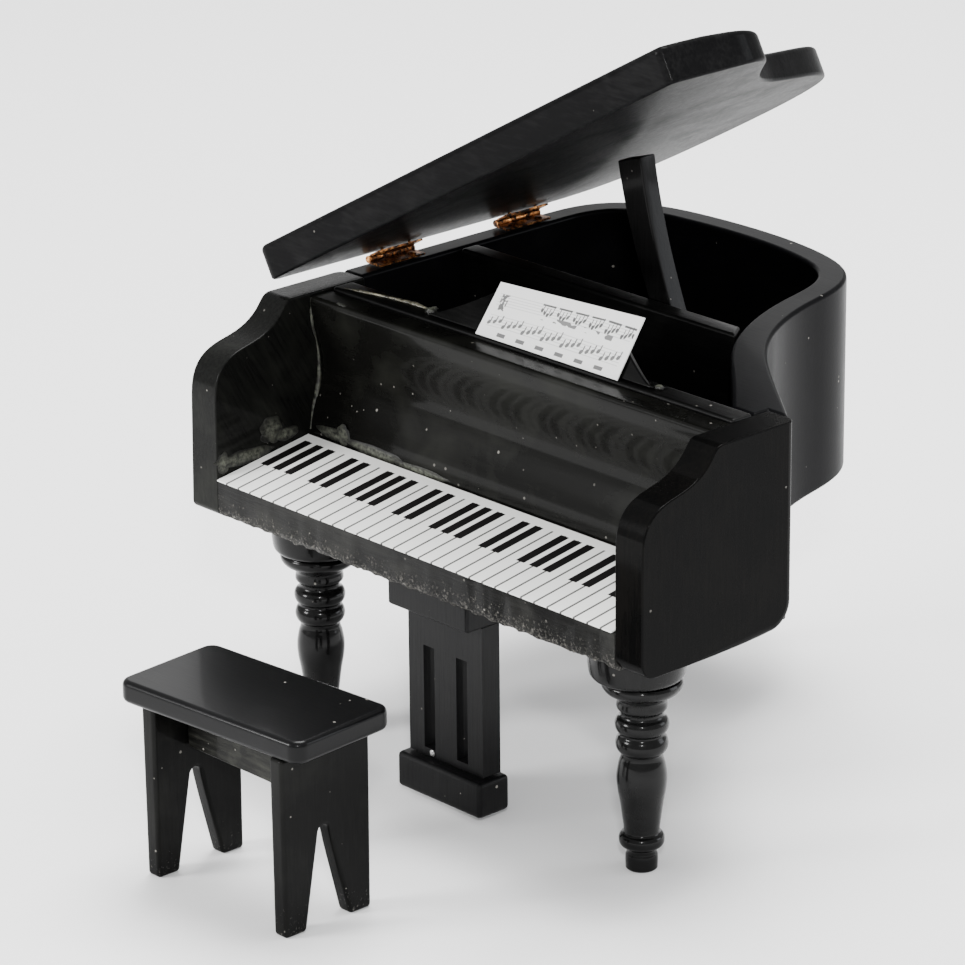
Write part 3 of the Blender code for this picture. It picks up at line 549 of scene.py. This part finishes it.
def block_piece(name, source, edge, material, body="case"):
    """A squared strip with sanded edges, in the place of a CAD block."""
    low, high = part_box(source)
    bpy.ops.object.select_all(action="DESELECT")
    bpy.ops.mesh.primitive_cube_add(size=1.0, location=(0, 0, 0))
    piece = bpy.context.active_object
    piece.name = name
    piece.data.transform(Matrix.Translation((low + high) / 2)
                         @ Matrix.Diagonal((*(high - low), 1.0)))
    round_edges(piece, edge)
    piece.data.materials.append(material)
    finish_piece(piece, body, "black_lacquer", source)


block_piece("desk_rail_strip", "desk_rail", 0.6, rail_paint)
RAIL_START, RAIL_FRONT, RAIL_BACK, RAIL_SLANT = 5.3, 57.9, 61.9, 2.6
rail_end = (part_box("cross_rail")[1].x - ZERO.x) / MM
cross_line = [(RAIL_START, RAIL_FRONT), (rail_end, RAIL_FRONT),
              (rail_end - RAIL_SLANT, RAIL_BACK), (RAIL_START, RAIL_BACK)]
cross = board("cross_rail_strip", cross_line, "XY", 63.0, CASE_TOP, 0.6, rail_paint)
finish_piece(cross, "case", "black_board", "cross_rail")


# ---------------------------------------------------------------- music desk and sheet
# A thin leaning board glued to the rail, its foot planed flat where it stands, with a
# small sheet of card glued in front that is printed with two lines of music.

DESK_LEAN = math.radians(38.4)
DESK_THICKNESS = 1.6


def lean(piece, foot):
    """Stand a flat piece up from its foot line and lean it back."""
    piece.data.transform(Matrix.Translation(-ZERO))
    piece.data.transform(Matrix.Translation(ZERO + Vector(foot) * MM)
                         @ Matrix.Rotation(math.pi / 2 - DESK_LEAN, 4, "X"))


desk_line = [(27.2, 0, 27.2, 0, 21.7, 2.4), (13.2, 8.6, 17.4, 5.6, 13.2, 8.6),
             (-13.2, 8.6, -13.2, 8.6, -17.4, 5.6), (-27.2, 0, -21.7, 2.4, -27.2, 0)]
desk = board("music_desk_board", desk_line, "XY", -DESK_THICKNESS, 0.0, 0.0, rail_paint)
for vertex in desk.data.vertices:
    at_foot = vertex.co.y - ZERO.y < TOUCHING * MM
    if at_foot and vertex.co.z < -DESK_THICKNESS / 2 * MM:
        vertex.co.y += DESK_THICKNESS * MM * math.tan(DESK_LEAN)
lean(desk, (57.0, 27.5, 77.5))
round_edges(desk, 0.25, 2)
finish_piece(desk, "case", "black_lacquer", "music_desk")

INK_LEFT, INK_RIGHT = 0.04, 0.96
NOTE_GROUPS, SHORT_RUNS = 9.0, 7.3


def printed_music():
    """Two lines of made-up notes, drawn in the sheet's own u (across) and v (up)."""
    made, tree, shader = blank_material("printed_music")
    link = tree.links.new
    sums = partial(math_node, tree)
    place = node(tree, "ShaderNodeUVMap", uv_map="sheet").outputs["UV"]
    split = node(tree, "ShaderNodeSeparateXYZ")
    link(place, split.inputs[0])
    u, v = split.outputs["X"], split.outputs["Y"]

    def times(*sockets):
        product = sockets[0]
        for socket in sockets[1:]:
            product = sums("MULTIPLY", product, socket)
        return product

    def between(socket, low, high):
        return times(sums("GREATER_THAN", socket, low), sums("LESS_THAN", socket, high))

    def larger(first, second):
        return sums("MAXIMUM", first, second)

    def repeats(count):
        """From 0 to 1, so many times across the sheet."""
        return sums("FRACT", times(u, count))

    def groups(count, filled):
        return sums("LESS_THAN", repeats(count), filled)

    def blots(across, up, above, seed):
        """Blots of ink of one size: a noise stretched over the sheet and cut off at a level."""
        wide = pattern(tree, place, "ShaderNodeMapping", Location=(seed, seed * 0.7, 0),
                       Scale=(across, up, 1))
        blot = pattern(tree, wide.outputs[0], Scale=1.0, Detail=1.0)
        return sums("GREATER_THAN", blot.outputs["Fac"], above)

    # The upper line: a clef, then groups of upright stems with heads below and a beam above.
    row = times(sums("SUBTRACT", v, 0.60), 4.5)
    beside = repeats(45.0)
    sway = times(sums("SINE", times(u, 61.0)), 0.16)
    above = sums("SUBTRACT", sums("SUBTRACT", row, 0.28), sway)
    sideways = sums("SUBTRACT", beside, 0.42)
    heads = sums("LESS_THAN", sums("ADD", times(sideways, sideways, 7.0),
                                   times(above, above, 34.0)), 1.0)
    stems = times(between(beside, 0.62, 0.84), between(above, 0.0, 0.55))
    beams = between(row, 0.80, 0.95)
    ink = times(larger(larger(heads, stems), beams), between(u, 0.32, 0.97),
                groups(NOTE_GROUPS, 0.8), 0.9)
    clef = times(between(v, 0.50, 0.80), between(u, 0.055, 0.105), blots(46, 14, 0.47, 8.0), 0.85)
    words = times(between(v, 0.52, 0.60), between(u, 0.36, 0.85), blots(17, 7, 0.56, 5.0), 0.8)
    ink = larger(larger(ink, clef), words)

    # The lower line: runs of four notes that climb, with short strokes below them.
    row = times(sums("SUBTRACT", v, 0.18), 4.2)
    climb = sums("ADD", times(repeats(SHORT_RUNS), 0.5), 0.15)
    beside = sums("SUBTRACT", repeats(4 * SHORT_RUNS), 0.5)
    above = sums("SUBTRACT", row, climb)
    heads = sums("LESS_THAN", sums("ADD", times(beside, beside, 9.0),
                                   times(above, above, 40.0)), 1.0)
    right_side = sums("ABSOLUTE", sums("SUBTRACT", beside, 0.22))
    stem = times(sums("LESS_THAN", right_side, 0.11), between(above, 0.0, 0.42))
    ink = larger(ink, times(larger(heads, stem), between(u, INK_LEFT, INK_RIGHT), 0.85))
    ink = larger(ink, times(between(v, 0.055, 0.115), between(u, 0.14, 0.95),
                            groups(SHORT_RUNS, 0.42), 0.85))

    # Five faint lines behind each.
    for low, high in ((0.60, 0.80), (0.20, 0.40)):
        staff = sums("PINGPONG", sums("SUBTRACT", v, low), (high - low) / 4 / 2)
        staff = times(sums("LESS_THAN", staff, 0.007), between(u, INK_LEFT, INK_RIGHT),
                      between(v, low - 0.01, high + 0.01), 0.25)
        ink = larger(ink, staff)
    link(mix_colours(tree, ink, (0.86, 0.86, 0.85, 1), (0.02, 0.02, 0.02, 1)),
         shader.inputs["Base Color"])
    set_sockets(shader, {"Roughness": 0.6, "Specular IOR Level": 0.2})
    return made


SHEET_LEFT, SHEET_WIDTH, SHEET_LOW_SIDE, SHEET_RISE = 17.1, 34.1, 9.8, 1.6
sheet_line = [(-17.0, 0), (17.0, 0), (16.3, 11.4), (-SHEET_LEFT, SHEET_LOW_SIDE)]
sheet = board("music_sheet", sheet_line, "XY", 0.0, 0.2, 0.0, printed_music())
unwrap = sheet.data.uv_layers.new(name="sheet")
for loop in sheet.data.loops:
    corner = sheet.data.vertices[loop.vertex_index].co - ZERO
    across = (corner.x / MM + SHEET_LEFT) / SHEET_WIDTH
    up = corner.y / MM / (SHEET_LOW_SIDE + SHEET_RISE * across)
    unwrap.data[loop.index].uv = (across, up)
lean(sheet, (60.0, 26.8, 77.25))
finish_piece(sheet, "case", "white_card", "sheet_music")


# ---------------------------------------------------------------- glue
# White wood glue that squeezed out as the boards went together and dried cloudy: a bead
# in the corner by the fallboard, dabs above the keys, and a run along the desk rail.

def dried_glue(name, tone, rough):
    """Patchy glue over black: it shows most where its thickness attribute is high."""
    made, tree, shader = blank_material(name)
    sums = partial(math_node, tree)
    film = pattern(tree, object_place(tree), Scale=1300.0, Detail=5.0, Roughness=0.65)
    depth = node(tree, "ShaderNodeAttribute", attribute_name="thickness")
    patchy = sums("MULTIPLY", sums("SUBTRACT", film.outputs["Fac"], 0.36), 3.5, True)
    share = sums("MULTIPLY", patchy, depth.outputs["Fac"])
    tree.links.new(mix_colours(tree, share, (0.004, 0.004, 0.0035, 1), (*tone, 1)),
                   shader.inputs["Base Color"])
    set_sockets(shader, {"Roughness": rough, "Specular IOR Level": 0.3})
    add_relief(tree, shader, film.outputs["Fac"], 0.12, 0.8)
    return made


cloudy_glue = dried_glue("cloudy_glue", (0.10, 0.105, 0.082), 0.45)
# The light tone of this glue is a painted highlight on the bead along the desk rail; the glue
# itself is real.
glue_with_painted_highlight = dried_glue("glue_with_painted_highlight", (0.30, 0.28, 0.20), 0.25)


def bead(name, path, material):
    """Run a bead of glue along points (x, y, z, radius), thick and thin as it goes."""
    bpy.ops.object.select_all(action="DESELECT")
    bpy.ops.curve.primitive_bezier_curve_add(location=(0, 0, 0))
    run = bpy.context.active_object
    run.name = name
    run.data.name = name
    run.data.splines.clear()
    run.data.resolution_u = 8
    run.data.bevel_depth = 1.0 * MM
    run.data.bevel_resolution = 4
    run.data.use_fill_caps = True
    line = run.data.splines.new("BEZIER")
    line.bezier_points.add(len(path) - 1)
    for point, (x, y, z, radius) in zip(line.bezier_points, path):
        point.co = ZERO + Vector((x, y, z)) * MM
        point.handle_left_type = point.handle_right_type = "AUTO"
        point.radius = radius
    bpy.ops.object.convert(target="MESH")
    run = bpy.context.active_object
    bpy.ops.object.mode_set(mode="EDIT")
    bpy.ops.mesh.select_all(action="SELECT")
    bpy.ops.mesh.remove_doubles(threshold=0.002 * MM)
    bpy.ops.mesh.normals_make_consistent(inside=False)
    bpy.ops.object.mode_set(mode="OBJECT")
    thickness = run.data.attributes.new("thickness", "FLOAT", "POINT")
    for vertex in run.data.vertices:
        vertex.co += vertex.normal * (0.14 * noise.noise(vertex.co * 1100)) * MM
        thickness.data[vertex.index].value = 0.65 + 0.9 * noise.noise(vertex.co * 500)
    bpy.ops.object.shade_smooth_by_angle(angle=math.radians(60))
    run.data.materials.clear()
    run.data.materials.append(material)
    finish_piece(run, "case", "white_card")


def dab(name, spots, material):
    """Press flat dabs of glue on: each is a centre, three half sizes, one of them thin."""
    made = []
    for centre, half in spots:
        bpy.ops.object.select_all(action="DESELECT")
        bpy.ops.mesh.primitive_ico_sphere_add(subdivisions=4, radius=1.0, location=(0, 0, 0))
        one = bpy.context.active_object
        thin = half.index(min(half))
        thickness = one.data.attributes.new("thickness", "FLOAT", "POINT")
        for vertex in one.data.vertices:
            swell = 1.0 + 0.32 * noise.noise(vertex.co * 1.7 + Vector(centre))
            thickness.data[vertex.index].value = abs(vertex.co[thin]) ** 1.7
            vertex.co = ZERO + (Vector(centre) + Vector([c * h * swell for c, h in
                                                         zip(vertex.co, half)])) * MM
        made.append(one)
    for one in made:
        one.select_set(True)
    bpy.context.view_layer.objects.active = made[0]
    if len(made) > 1:
        bpy.ops.object.join()
    piece = bpy.context.active_object
    piece.name = name
    piece.data.name = name
    bpy.ops.object.shade_smooth_by_angle(angle=math.radians(60))
    piece.data.materials.append(material)
    finish_piece(piece, "case", "white_card")


bead("glue_in_corner", [(6.3, 22.1, 76.2, 0.22), (6.4, 21.9, 72.0, 0.30), (6.4, 22.9, 68.0, 0.16),
                        (6.4, 23.4, 63.0, 0.34), (6.4, 22.9, 59.4, 0.46), (6.4, 22.0, 56.4, 0.36),
                        (6.4, 21.1, 52.4, 0.2)], cloudy_glue)
dab("glue_above_keys", [
    ((6.25, 12.4, 54.3), (0.24, 2.5, 2.3)), ((6.25, 6.2, 51.0), (0.18, 6.4, 1.3)),
    ((6.25, 1.3, 50.9), (0.18, 1.3, 1.9)), ((6.25, 15.6, 52.9), (0.15, 2.6, 1.2)),
    ((12.6, 21.1, 53.0), (4.2, 0.2, 1.2)), ((15.0, 21.1, 53.4), (1.6, 0.24, 1.9)),
    ((23.0, 21.1, 52.4), (8.0, 0.2, 1.0)), ((35.0, 21.0, 52.1), (7.0, 0.2, 0.7))], cloudy_glue)
# This bead is real glue, painted bright as a painted highlight.
bead("glue_on_rail", [(8.6, 27.6, 77.1, 0.12), (12.0, 28.3, 77.2, 0.30), (16.0, 29.2, 77.2, 0.22),
                      (20.0, 29.8, 77.2, 0.30), (24.4, 30.2, 77.2, 0.42), (27.4, 30.2, 77.1, 0.2)],
     glue_with_painted_highlight)
dab("glue_by_desk", [((29.4, 29.0, 77.5), (1.3, 0.9, 0.7)), ((27.6, 31.4, 77.1), (0.8, 0.5, 0.3)),
                     ((14.0, 22.3, 76.6), (1.3, 0.4, 0.2)), ((16.8, 21.9, 75.6), (0.9, 0.2, 0.3)),
                     ((84.5, 29.0, 77.4), (0.9, 0.7, 0.5))], cloudy_glue)


# ---------------------------------------------------------------- lid
# A thick board cut to the plan of the case, its upper edge sanded well round. The
# underside is rubbed to a satin that lights up grey towards the treble side.

HINGE = Vector((1.0, 0.0, 77.95))
LID_OPEN = math.radians(29.1)
LID_FOOT, LID_TOP = 78.9, 85.1
lid_paint = lacquer("lid_paint", (0.0032, 0.0032, 0.0034), (0.014, 0.014, 0.014), grain=0.7,
                    dust=0.35, cloud=0.4, gloss=0.38, bump=0.06, shine=0.012, polish=0.035,
                    turn=(0, 0, math.radians(8)))


def from_nought_to_one(share):
    return min(max(share, 0.0), 1.0)


def smooth_step(share):
    share = from_nought_to_one(share)
    return share * share * (3 - 2 * share)


def open_with_lid(piece):
    """Turn a piece, made with the lid shut, about the hinge line to where the lid stands."""
    axis = ZERO + HINGE * MM
    piece.data.transform(Matrix.Translation(axis) @ Matrix.Rotation(-LID_OPEN, 4, "Y")
                         @ Matrix.Translation(-axis))


lid_line = [
    (1, 82, 1, 97, 1, 60), (1, 19.8, 1, 24, 1, 18), (4, 16.8, 2.2, 16.8, 8, 16.8),
    (112.2, 16.8, 105, 16.8, 113.3, 16.8), (114, 18.6, 114, 17.5, 114, 24),
    (114, 32.6, 114, 30, 114, 38.4), (107, 44.0, 111.6, 40.4, 98, 51),
    (84.6, 66.5, 89.2, 57.5, 80.8, 75), (73.4, 89.3, 80.2, 82, 64.5, 98.8),
    (31, 101.4, 48, 101.4, 10, 101.4)]
lid = board("lid_board", lid_line, "XY", LID_FOOT, LID_TOP, 0.0, lid_paint, steps=14)
select_edges(lid, lambda one, other: min(one.z, other.z) > LID_TOP - 0.1)
bpy.ops.mesh.bevel(offset=1.0 * MM, segments=5, affect="EDGES")
bpy.ops.object.mode_set(mode="OBJECT")
round_edges(lid, 0.5, 3, 50)

# Cuts across the board give it points to sink between its edges, where it was planed thin.
CUTS, CUT_STEP, FIRST_ACROSS, FIRST_ALONG = 12, 5, 58, 22
bpy.ops.object.mode_set(mode="EDIT")
for cut in range(CUTS):
    for middle, across in (((FIRST_ACROSS + CUT_STEP * cut, 0, 80), (1, 0, 0)),
                           ((0, FIRST_ALONG + CUT_STEP * cut, 80), (0, 1, 0))):
        bpy.ops.mesh.select_all(action="SELECT")
        bpy.ops.mesh.bisect(plane_co=ZERO + Vector(middle) * MM, plane_no=across)
bpy.ops.object.mode_set(mode="OBJECT")
PLANED_OFF = 1.45
for vertex in lid.data.vertices:
    high_up = from_nought_to_one((vertex.co.z / MM - 79.5) / 5.6)
    tailwards = smooth_step(((vertex.co.y - ZERO.y) / MM - 24) / 24)
    trebleward = smooth_step(((vertex.co.x - ZERO.x) / MM - 57) / 36)
    vertex.co.z -= PLANED_OFF * MM * high_up * tailwards * trebleward
bpy.ops.object.shade_smooth_by_angle(angle=math.radians(50))
open_with_lid(lid)
finish_piece(lid, "lid", "black_lacquer", "lid")


# ---------------------------------------------------------------- hinges
# Two small pressed brass butts, pinned with brass nails; handling has worn them to
# copper orange with black paint left in the hollows.

def colour_ramp(tree, share, *stops):
    """Colours at places from 0 to 1 along a socket's value."""
    ramp = node(tree, "ShaderNodeValToRGB")
    elements = ramp.color_ramp.elements
    for where, _ in stops[1:-1]:
        elements.new(where)
    for element, (where, colour) in zip(elements, stops):
        element.position, element.color = where, colour
    tree.links.new(share, ramp.inputs["Fac"])
    return ramp.outputs["Color"]


def worn_brass():
    made, tree, shader = blank_material("worn_brass")
    link = tree.links.new
    patch = pattern(tree, object_place(tree), Scale=780.0, Detail=6.0, Roughness=0.7,
                    Distortion=0.8).outputs["Fac"]
    link(colour_ramp(tree, patch, (0.44, (0.006, 0.003, 0.001, 1)),
                     (0.53, (0.22, 0.075, 0.02, 1)), (0.66, (0.75, 0.36, 0.12, 1))),
         shader.inputs["Base Color"])
    shader.inputs["Metallic"].default_value = 0.85
    rough = math_node(tree, "ADD", math_node(tree, "MULTIPLY", patch, -0.5), 0.65)
    link(rough, shader.inputs["Roughness"])
    add_relief(tree, shader, patch, 0.05)
    return made


brass = worn_brass()
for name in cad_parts:
    if name.startswith("hinge_"):
        paint_node(name, brass)


# ---------------------------------------------------------------- lid prop
# A square wooden stick, bowed from being whittled by hand and painted black. It turns
# on a steel nail in a small block glued behind the cross rail.

prop_paint = lacquer("prop_paint", (0.002, 0.002, 0.002), (0.01, 0.01, 0.01), grain=0.6, dust=0.3,
                     cloud=0.4, gloss=0.36, bump=0.1, turn=ALONG_HEIGHT)
PROP_LEAN = math.radians(17)
prop_line = [(-3.6, 27.8, -2, 27.8, -4.7, 18), (-2.3, -1.6, -3.6, 7, -1, -1.6),
             (2.3, -1.6, 1, -1.6, 1.5, 7), (2.2, 27.8, 0.7, 16, 1, 27.8)]
prop = board("prop_bar", prop_line, "XZ", -1.8, 1.8, 0.3, prop_paint, segments=2)
prop.data.transform(Matrix.Translation(-ZERO))
prop.data.transform(Matrix.Translation(ZERO + Vector((51.8, 64.5, 74.0)) * MM)
                    @ Matrix.Rotation(-PROP_LEAN, 4, "Y"))
finish_piece(prop, "prop", "black_lacquer", "prop_stick")
paint_node("prop_block", prop_paint)


def bright_steel():
    made, tree, shader = blank_material("nail_steel_worn")
    patch = pattern(tree, object_place(tree), Scale=1500.0, Detail=4.0).outputs["Fac"]
    tree.links.new(colour_ramp(tree, patch, (0.0, (0.10, 0.10, 0.10, 1)),
                               (1.0, (0.72, 0.72, 0.70, 1))), shader.inputs["Base Color"])
    set_sockets(shader, {"Metallic": 0.9, "Roughness": 0.35})
    return made


steel = bright_steel()
paint_node("prop_nail", steel)
paint_node("lyre_nail", steel)


# ---------------------------------------------------------------- legs
# Turned on a small lathe from beech, with rings, a vase and a straight foot, under
# round blocks; the paint is thick in the grooves and shines on the rings.

leg_paint = lacquer("leg_paint", (0.0024, 0.0024, 0.0024), (0.01, 0.01, 0.01), grain=0.4,
                    dust=0.2, cloud=0.35, gloss=0.24, bump=0.05, turn=ALONG_HEIGHT, polish=0.2)


def turned(name, profile, centre, replaced):
    """Draw half a turning, spin it round its axis and close its poles.

    Each point of the profile is a radius, a height, and 1 where the line bends smoothly.
    """
    bpy.ops.object.select_all(action="DESELECT")
    bpy.ops.curve.primitive_bezier_curve_add(location=(0, 0, 0))
    piece = bpy.context.active_object
    piece.name = name
    piece.data.name = name
    piece.data.splines.clear()
    piece.data.resolution_u = 6
    line = piece.data.splines.new("BEZIER")
    line.bezier_points.add(len(profile) - 1)
    middle = ZERO + Vector((*centre, 0)) * MM
    for point, (radius, height, smooth) in zip(line.bezier_points, profile):
        point.co = middle + Vector((radius, 0, height)) * MM
        point.handle_left_type = point.handle_right_type = "AUTO" if smooth else "VECTOR"
    bpy.ops.object.convert(target="MESH")
    piece = bpy.context.active_object
    bpy.ops.object.mode_set(mode="EDIT")
    bpy.ops.mesh.select_all(action="SELECT")
    bpy.ops.mesh.remove_doubles(threshold=0.01 * MM)
    bpy.ops.mesh.select_all(action="SELECT")
    bpy.ops.mesh.spin(steps=64, angle=math.tau, center=middle, axis=(0, 0, 1))
    bpy.ops.mesh.select_all(action="SELECT")
    bpy.ops.mesh.remove_doubles(threshold=0.01 * MM)
    bpy.ops.mesh.select_all(action="SELECT")
    bpy.ops.mesh.normals_make_consistent(inside=False)
    bpy.ops.object.mode_set(mode="OBJECT")
    bpy.ops.object.shade_smooth_by_angle(angle=math.radians(40))
    piece.data.materials.clear()
    piece.data.materials.append(leg_paint)
    finish_piece(piece, "case", "black_lacquer", replaced)


LEG_SHAPE = [(0, 33.7, 0), (6.5, 33.7, 0), (6.75, 33.2, 1), (6.3, 32.0, 1), (4.9, 31.0, 1),
             (4.2, 30.2, 1), (4.15, 28.7, 1), (3.65, 28.1, 1), (3.6, 27.5, 1), (4.3, 26.6, 1),
             (4.45, 25.7, 1), (4.2, 24.8, 1), (3.72, 24.2, 1), (4.15, 23.3, 1), (4.35, 22.4, 1),
             (4.1, 21.4, 1), (3.5, 20.5, 1), (3.85, 18.8, 1), (4.15, 16.8, 1), (4.05, 14.6, 1),
             (3.6, 12.0, 1), (3.2, 9.0, 1), (3.0, 7.2, 1), (3.05, 6.6, 1), (3.6, 6.1, 1),
             (3.78, 5.2, 1), (3.55, 4.4, 1), (2.75, 3.8, 1), (2.5, 3.1, 1), (2.66, 2.5, 1),
             (2.66, 0.25, 0), (2.4, 0.0, 0), (0, 0, 0)]
FLANGE_SHAPE = [(0, 41.2, 0), (7.85, 41.2, 0), (8.0, 41.0, 0), (8.0, 35.6, 1), (7.6, 34.5, 1),
                (6.7, 34.0, 0), (0, 34.0, 0)]
for side, leg_at, flange_at in (("bass", (15.0, 15.0), (15.0, 15.0)),
                                ("treble", (94.9, 14.9), (94.4, 14.3)),
                                ("tail", (33.0, 88.0), (33.0, 88.0))):
    turned("turned_leg_" + side, LEG_SHAPE, leg_at, "leg_" + side)
    turned("leg_block_" + side, FLANGE_SHAPE, flange_at, "leg_flange_" + side)


# ---------------------------------------------------------------- pedal lyre
# Three squared pieces of wood glued in a stack, the middle one sawn with two slots,
# held by a nail whose head still shows bright.

lyre_paint = lacquer("lyre_paint", (0.0032, 0.0032, 0.0034), (0.012, 0.012, 0.012), grain=0.55,
                     dust=0.5, cloud=0.4, gloss=0.42, bump=0.1, turn=ALONG_HEIGHT)
block_piece("lyre_top_block", "lyre_block", 0.5, lyre_paint)
block_piece("lyre_foot_block", "lyre_foot", 0.8, lyre_paint)
paint_node("lyre_panel", lyre_paint)


# ---------------------------------------------------------------- stool
# A flat seat with rounded corners on two boot-jack ends, with a rail between them,
# painted to match; the top is rubbed smooth and mirrors the light.

seat_paint = lacquer("seat_paint", (0.0024, 0.0024, 0.0026), (0.008, 0.008, 0.0088), grain=0.25,
                     dust=0.3, cloud=0.25, gloss=0.3, bump=0.04, shine=0.08)
stool_paint = lacquer("stool_paint", (0.0026, 0.0026, 0.0025), (0.012, 0.0122, 0.0108), grain=0.5,
                      dust=0.5, cloud=0.4, gloss=0.36, bump=0.1, shine=0.025,
                      turn=ALONG_HEIGHT, scuff=("Z", 9.0, -6.0))
# The rail wears the same paint as the ends; its lighter tone is painted light on its front face,
# while its grain and dust are real.
stool_rail_lit_paint = lacquer("stool_rail_lit_paint", (0.006, 0.006, 0.0054), (0.045, 0.046, 0.038),
                           grain=1.0, dust=0.9, cloud=0.9, gloss=0.45, bump=0.2)
# Half the seat's length, half its depth, its corners' radius and the pull of their handles.
w, d, r = 20.6, 10.8, 2.4
q = r * 0.552
seat_line = [(w - r, -d, 0, -d, w - r + q, -d), (w, -d + r, w, -d + r - q, w, 0),
             (w, d - r, w, 0, w, d - r + q), (w - r, d, w - r + q, d, 0, d),
             (-w + r, d, 0, d, -w + r - q, d), (-w, d - r, -w, d - r + q, -w, 0),
             (-w, -d + r, -w, 0, -w, -d + r - q), (-w + r, -d, -w + r - q, -d, 0, -d)]
seat = board("stool_top", seat_line, "XY", 31.3, 35.2, 1.0, seat_paint, segments=5)
SEAT_PLACE, SEAT_ASKEW = (58.4, -36.6, 0), math.radians(4.5)
seat.data.transform(Matrix.Translation(-ZERO))
seat.data.transform(Matrix.Translation(ZERO + Vector(SEAT_PLACE) * MM)
                    @ Matrix.Rotation(SEAT_ASKEW, 4, "Z"))
finish_piece(seat, "stool", "black_lacquer", "stool_seat")

# Each end stands on two feet, either side of a notch that comes to a blunt point.
END_TOP = 31.0
for label in ("bass", "treble"):
    low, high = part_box("stool_end_" + label)
    left, right = (low.x - ZERO.x) / MM, (high.x - ZERO.x) / MM
    cy = ((low.y + high.y) / 2 - ZERO.y) / MM
    end_line = [(cy - 9.3, END_TOP), (cy - 9.1, 0), (cy - 4.6, 0),
                (cy - 1.75, 16.2, cy - 2.4, 12.5, cy - 1.6, 17.8),
                (cy + 0.55, 16.2, cy + 0.4, 17.8, cy + 1.2, 12.5), (cy + 4.6, 0), (cy + 9.1, 0),
                (cy + 9.3, END_TOP)]
    end = board("stool_side_" + label, end_line, "YZ", left, right, 0.7, stool_paint, segments=4)
    finish_piece(end, "stool", "black_lacquer", "stool_end_" + label)
block_piece("stool_rail", "stool_apron", 0.4, stool_rail_lit_paint, "stool")
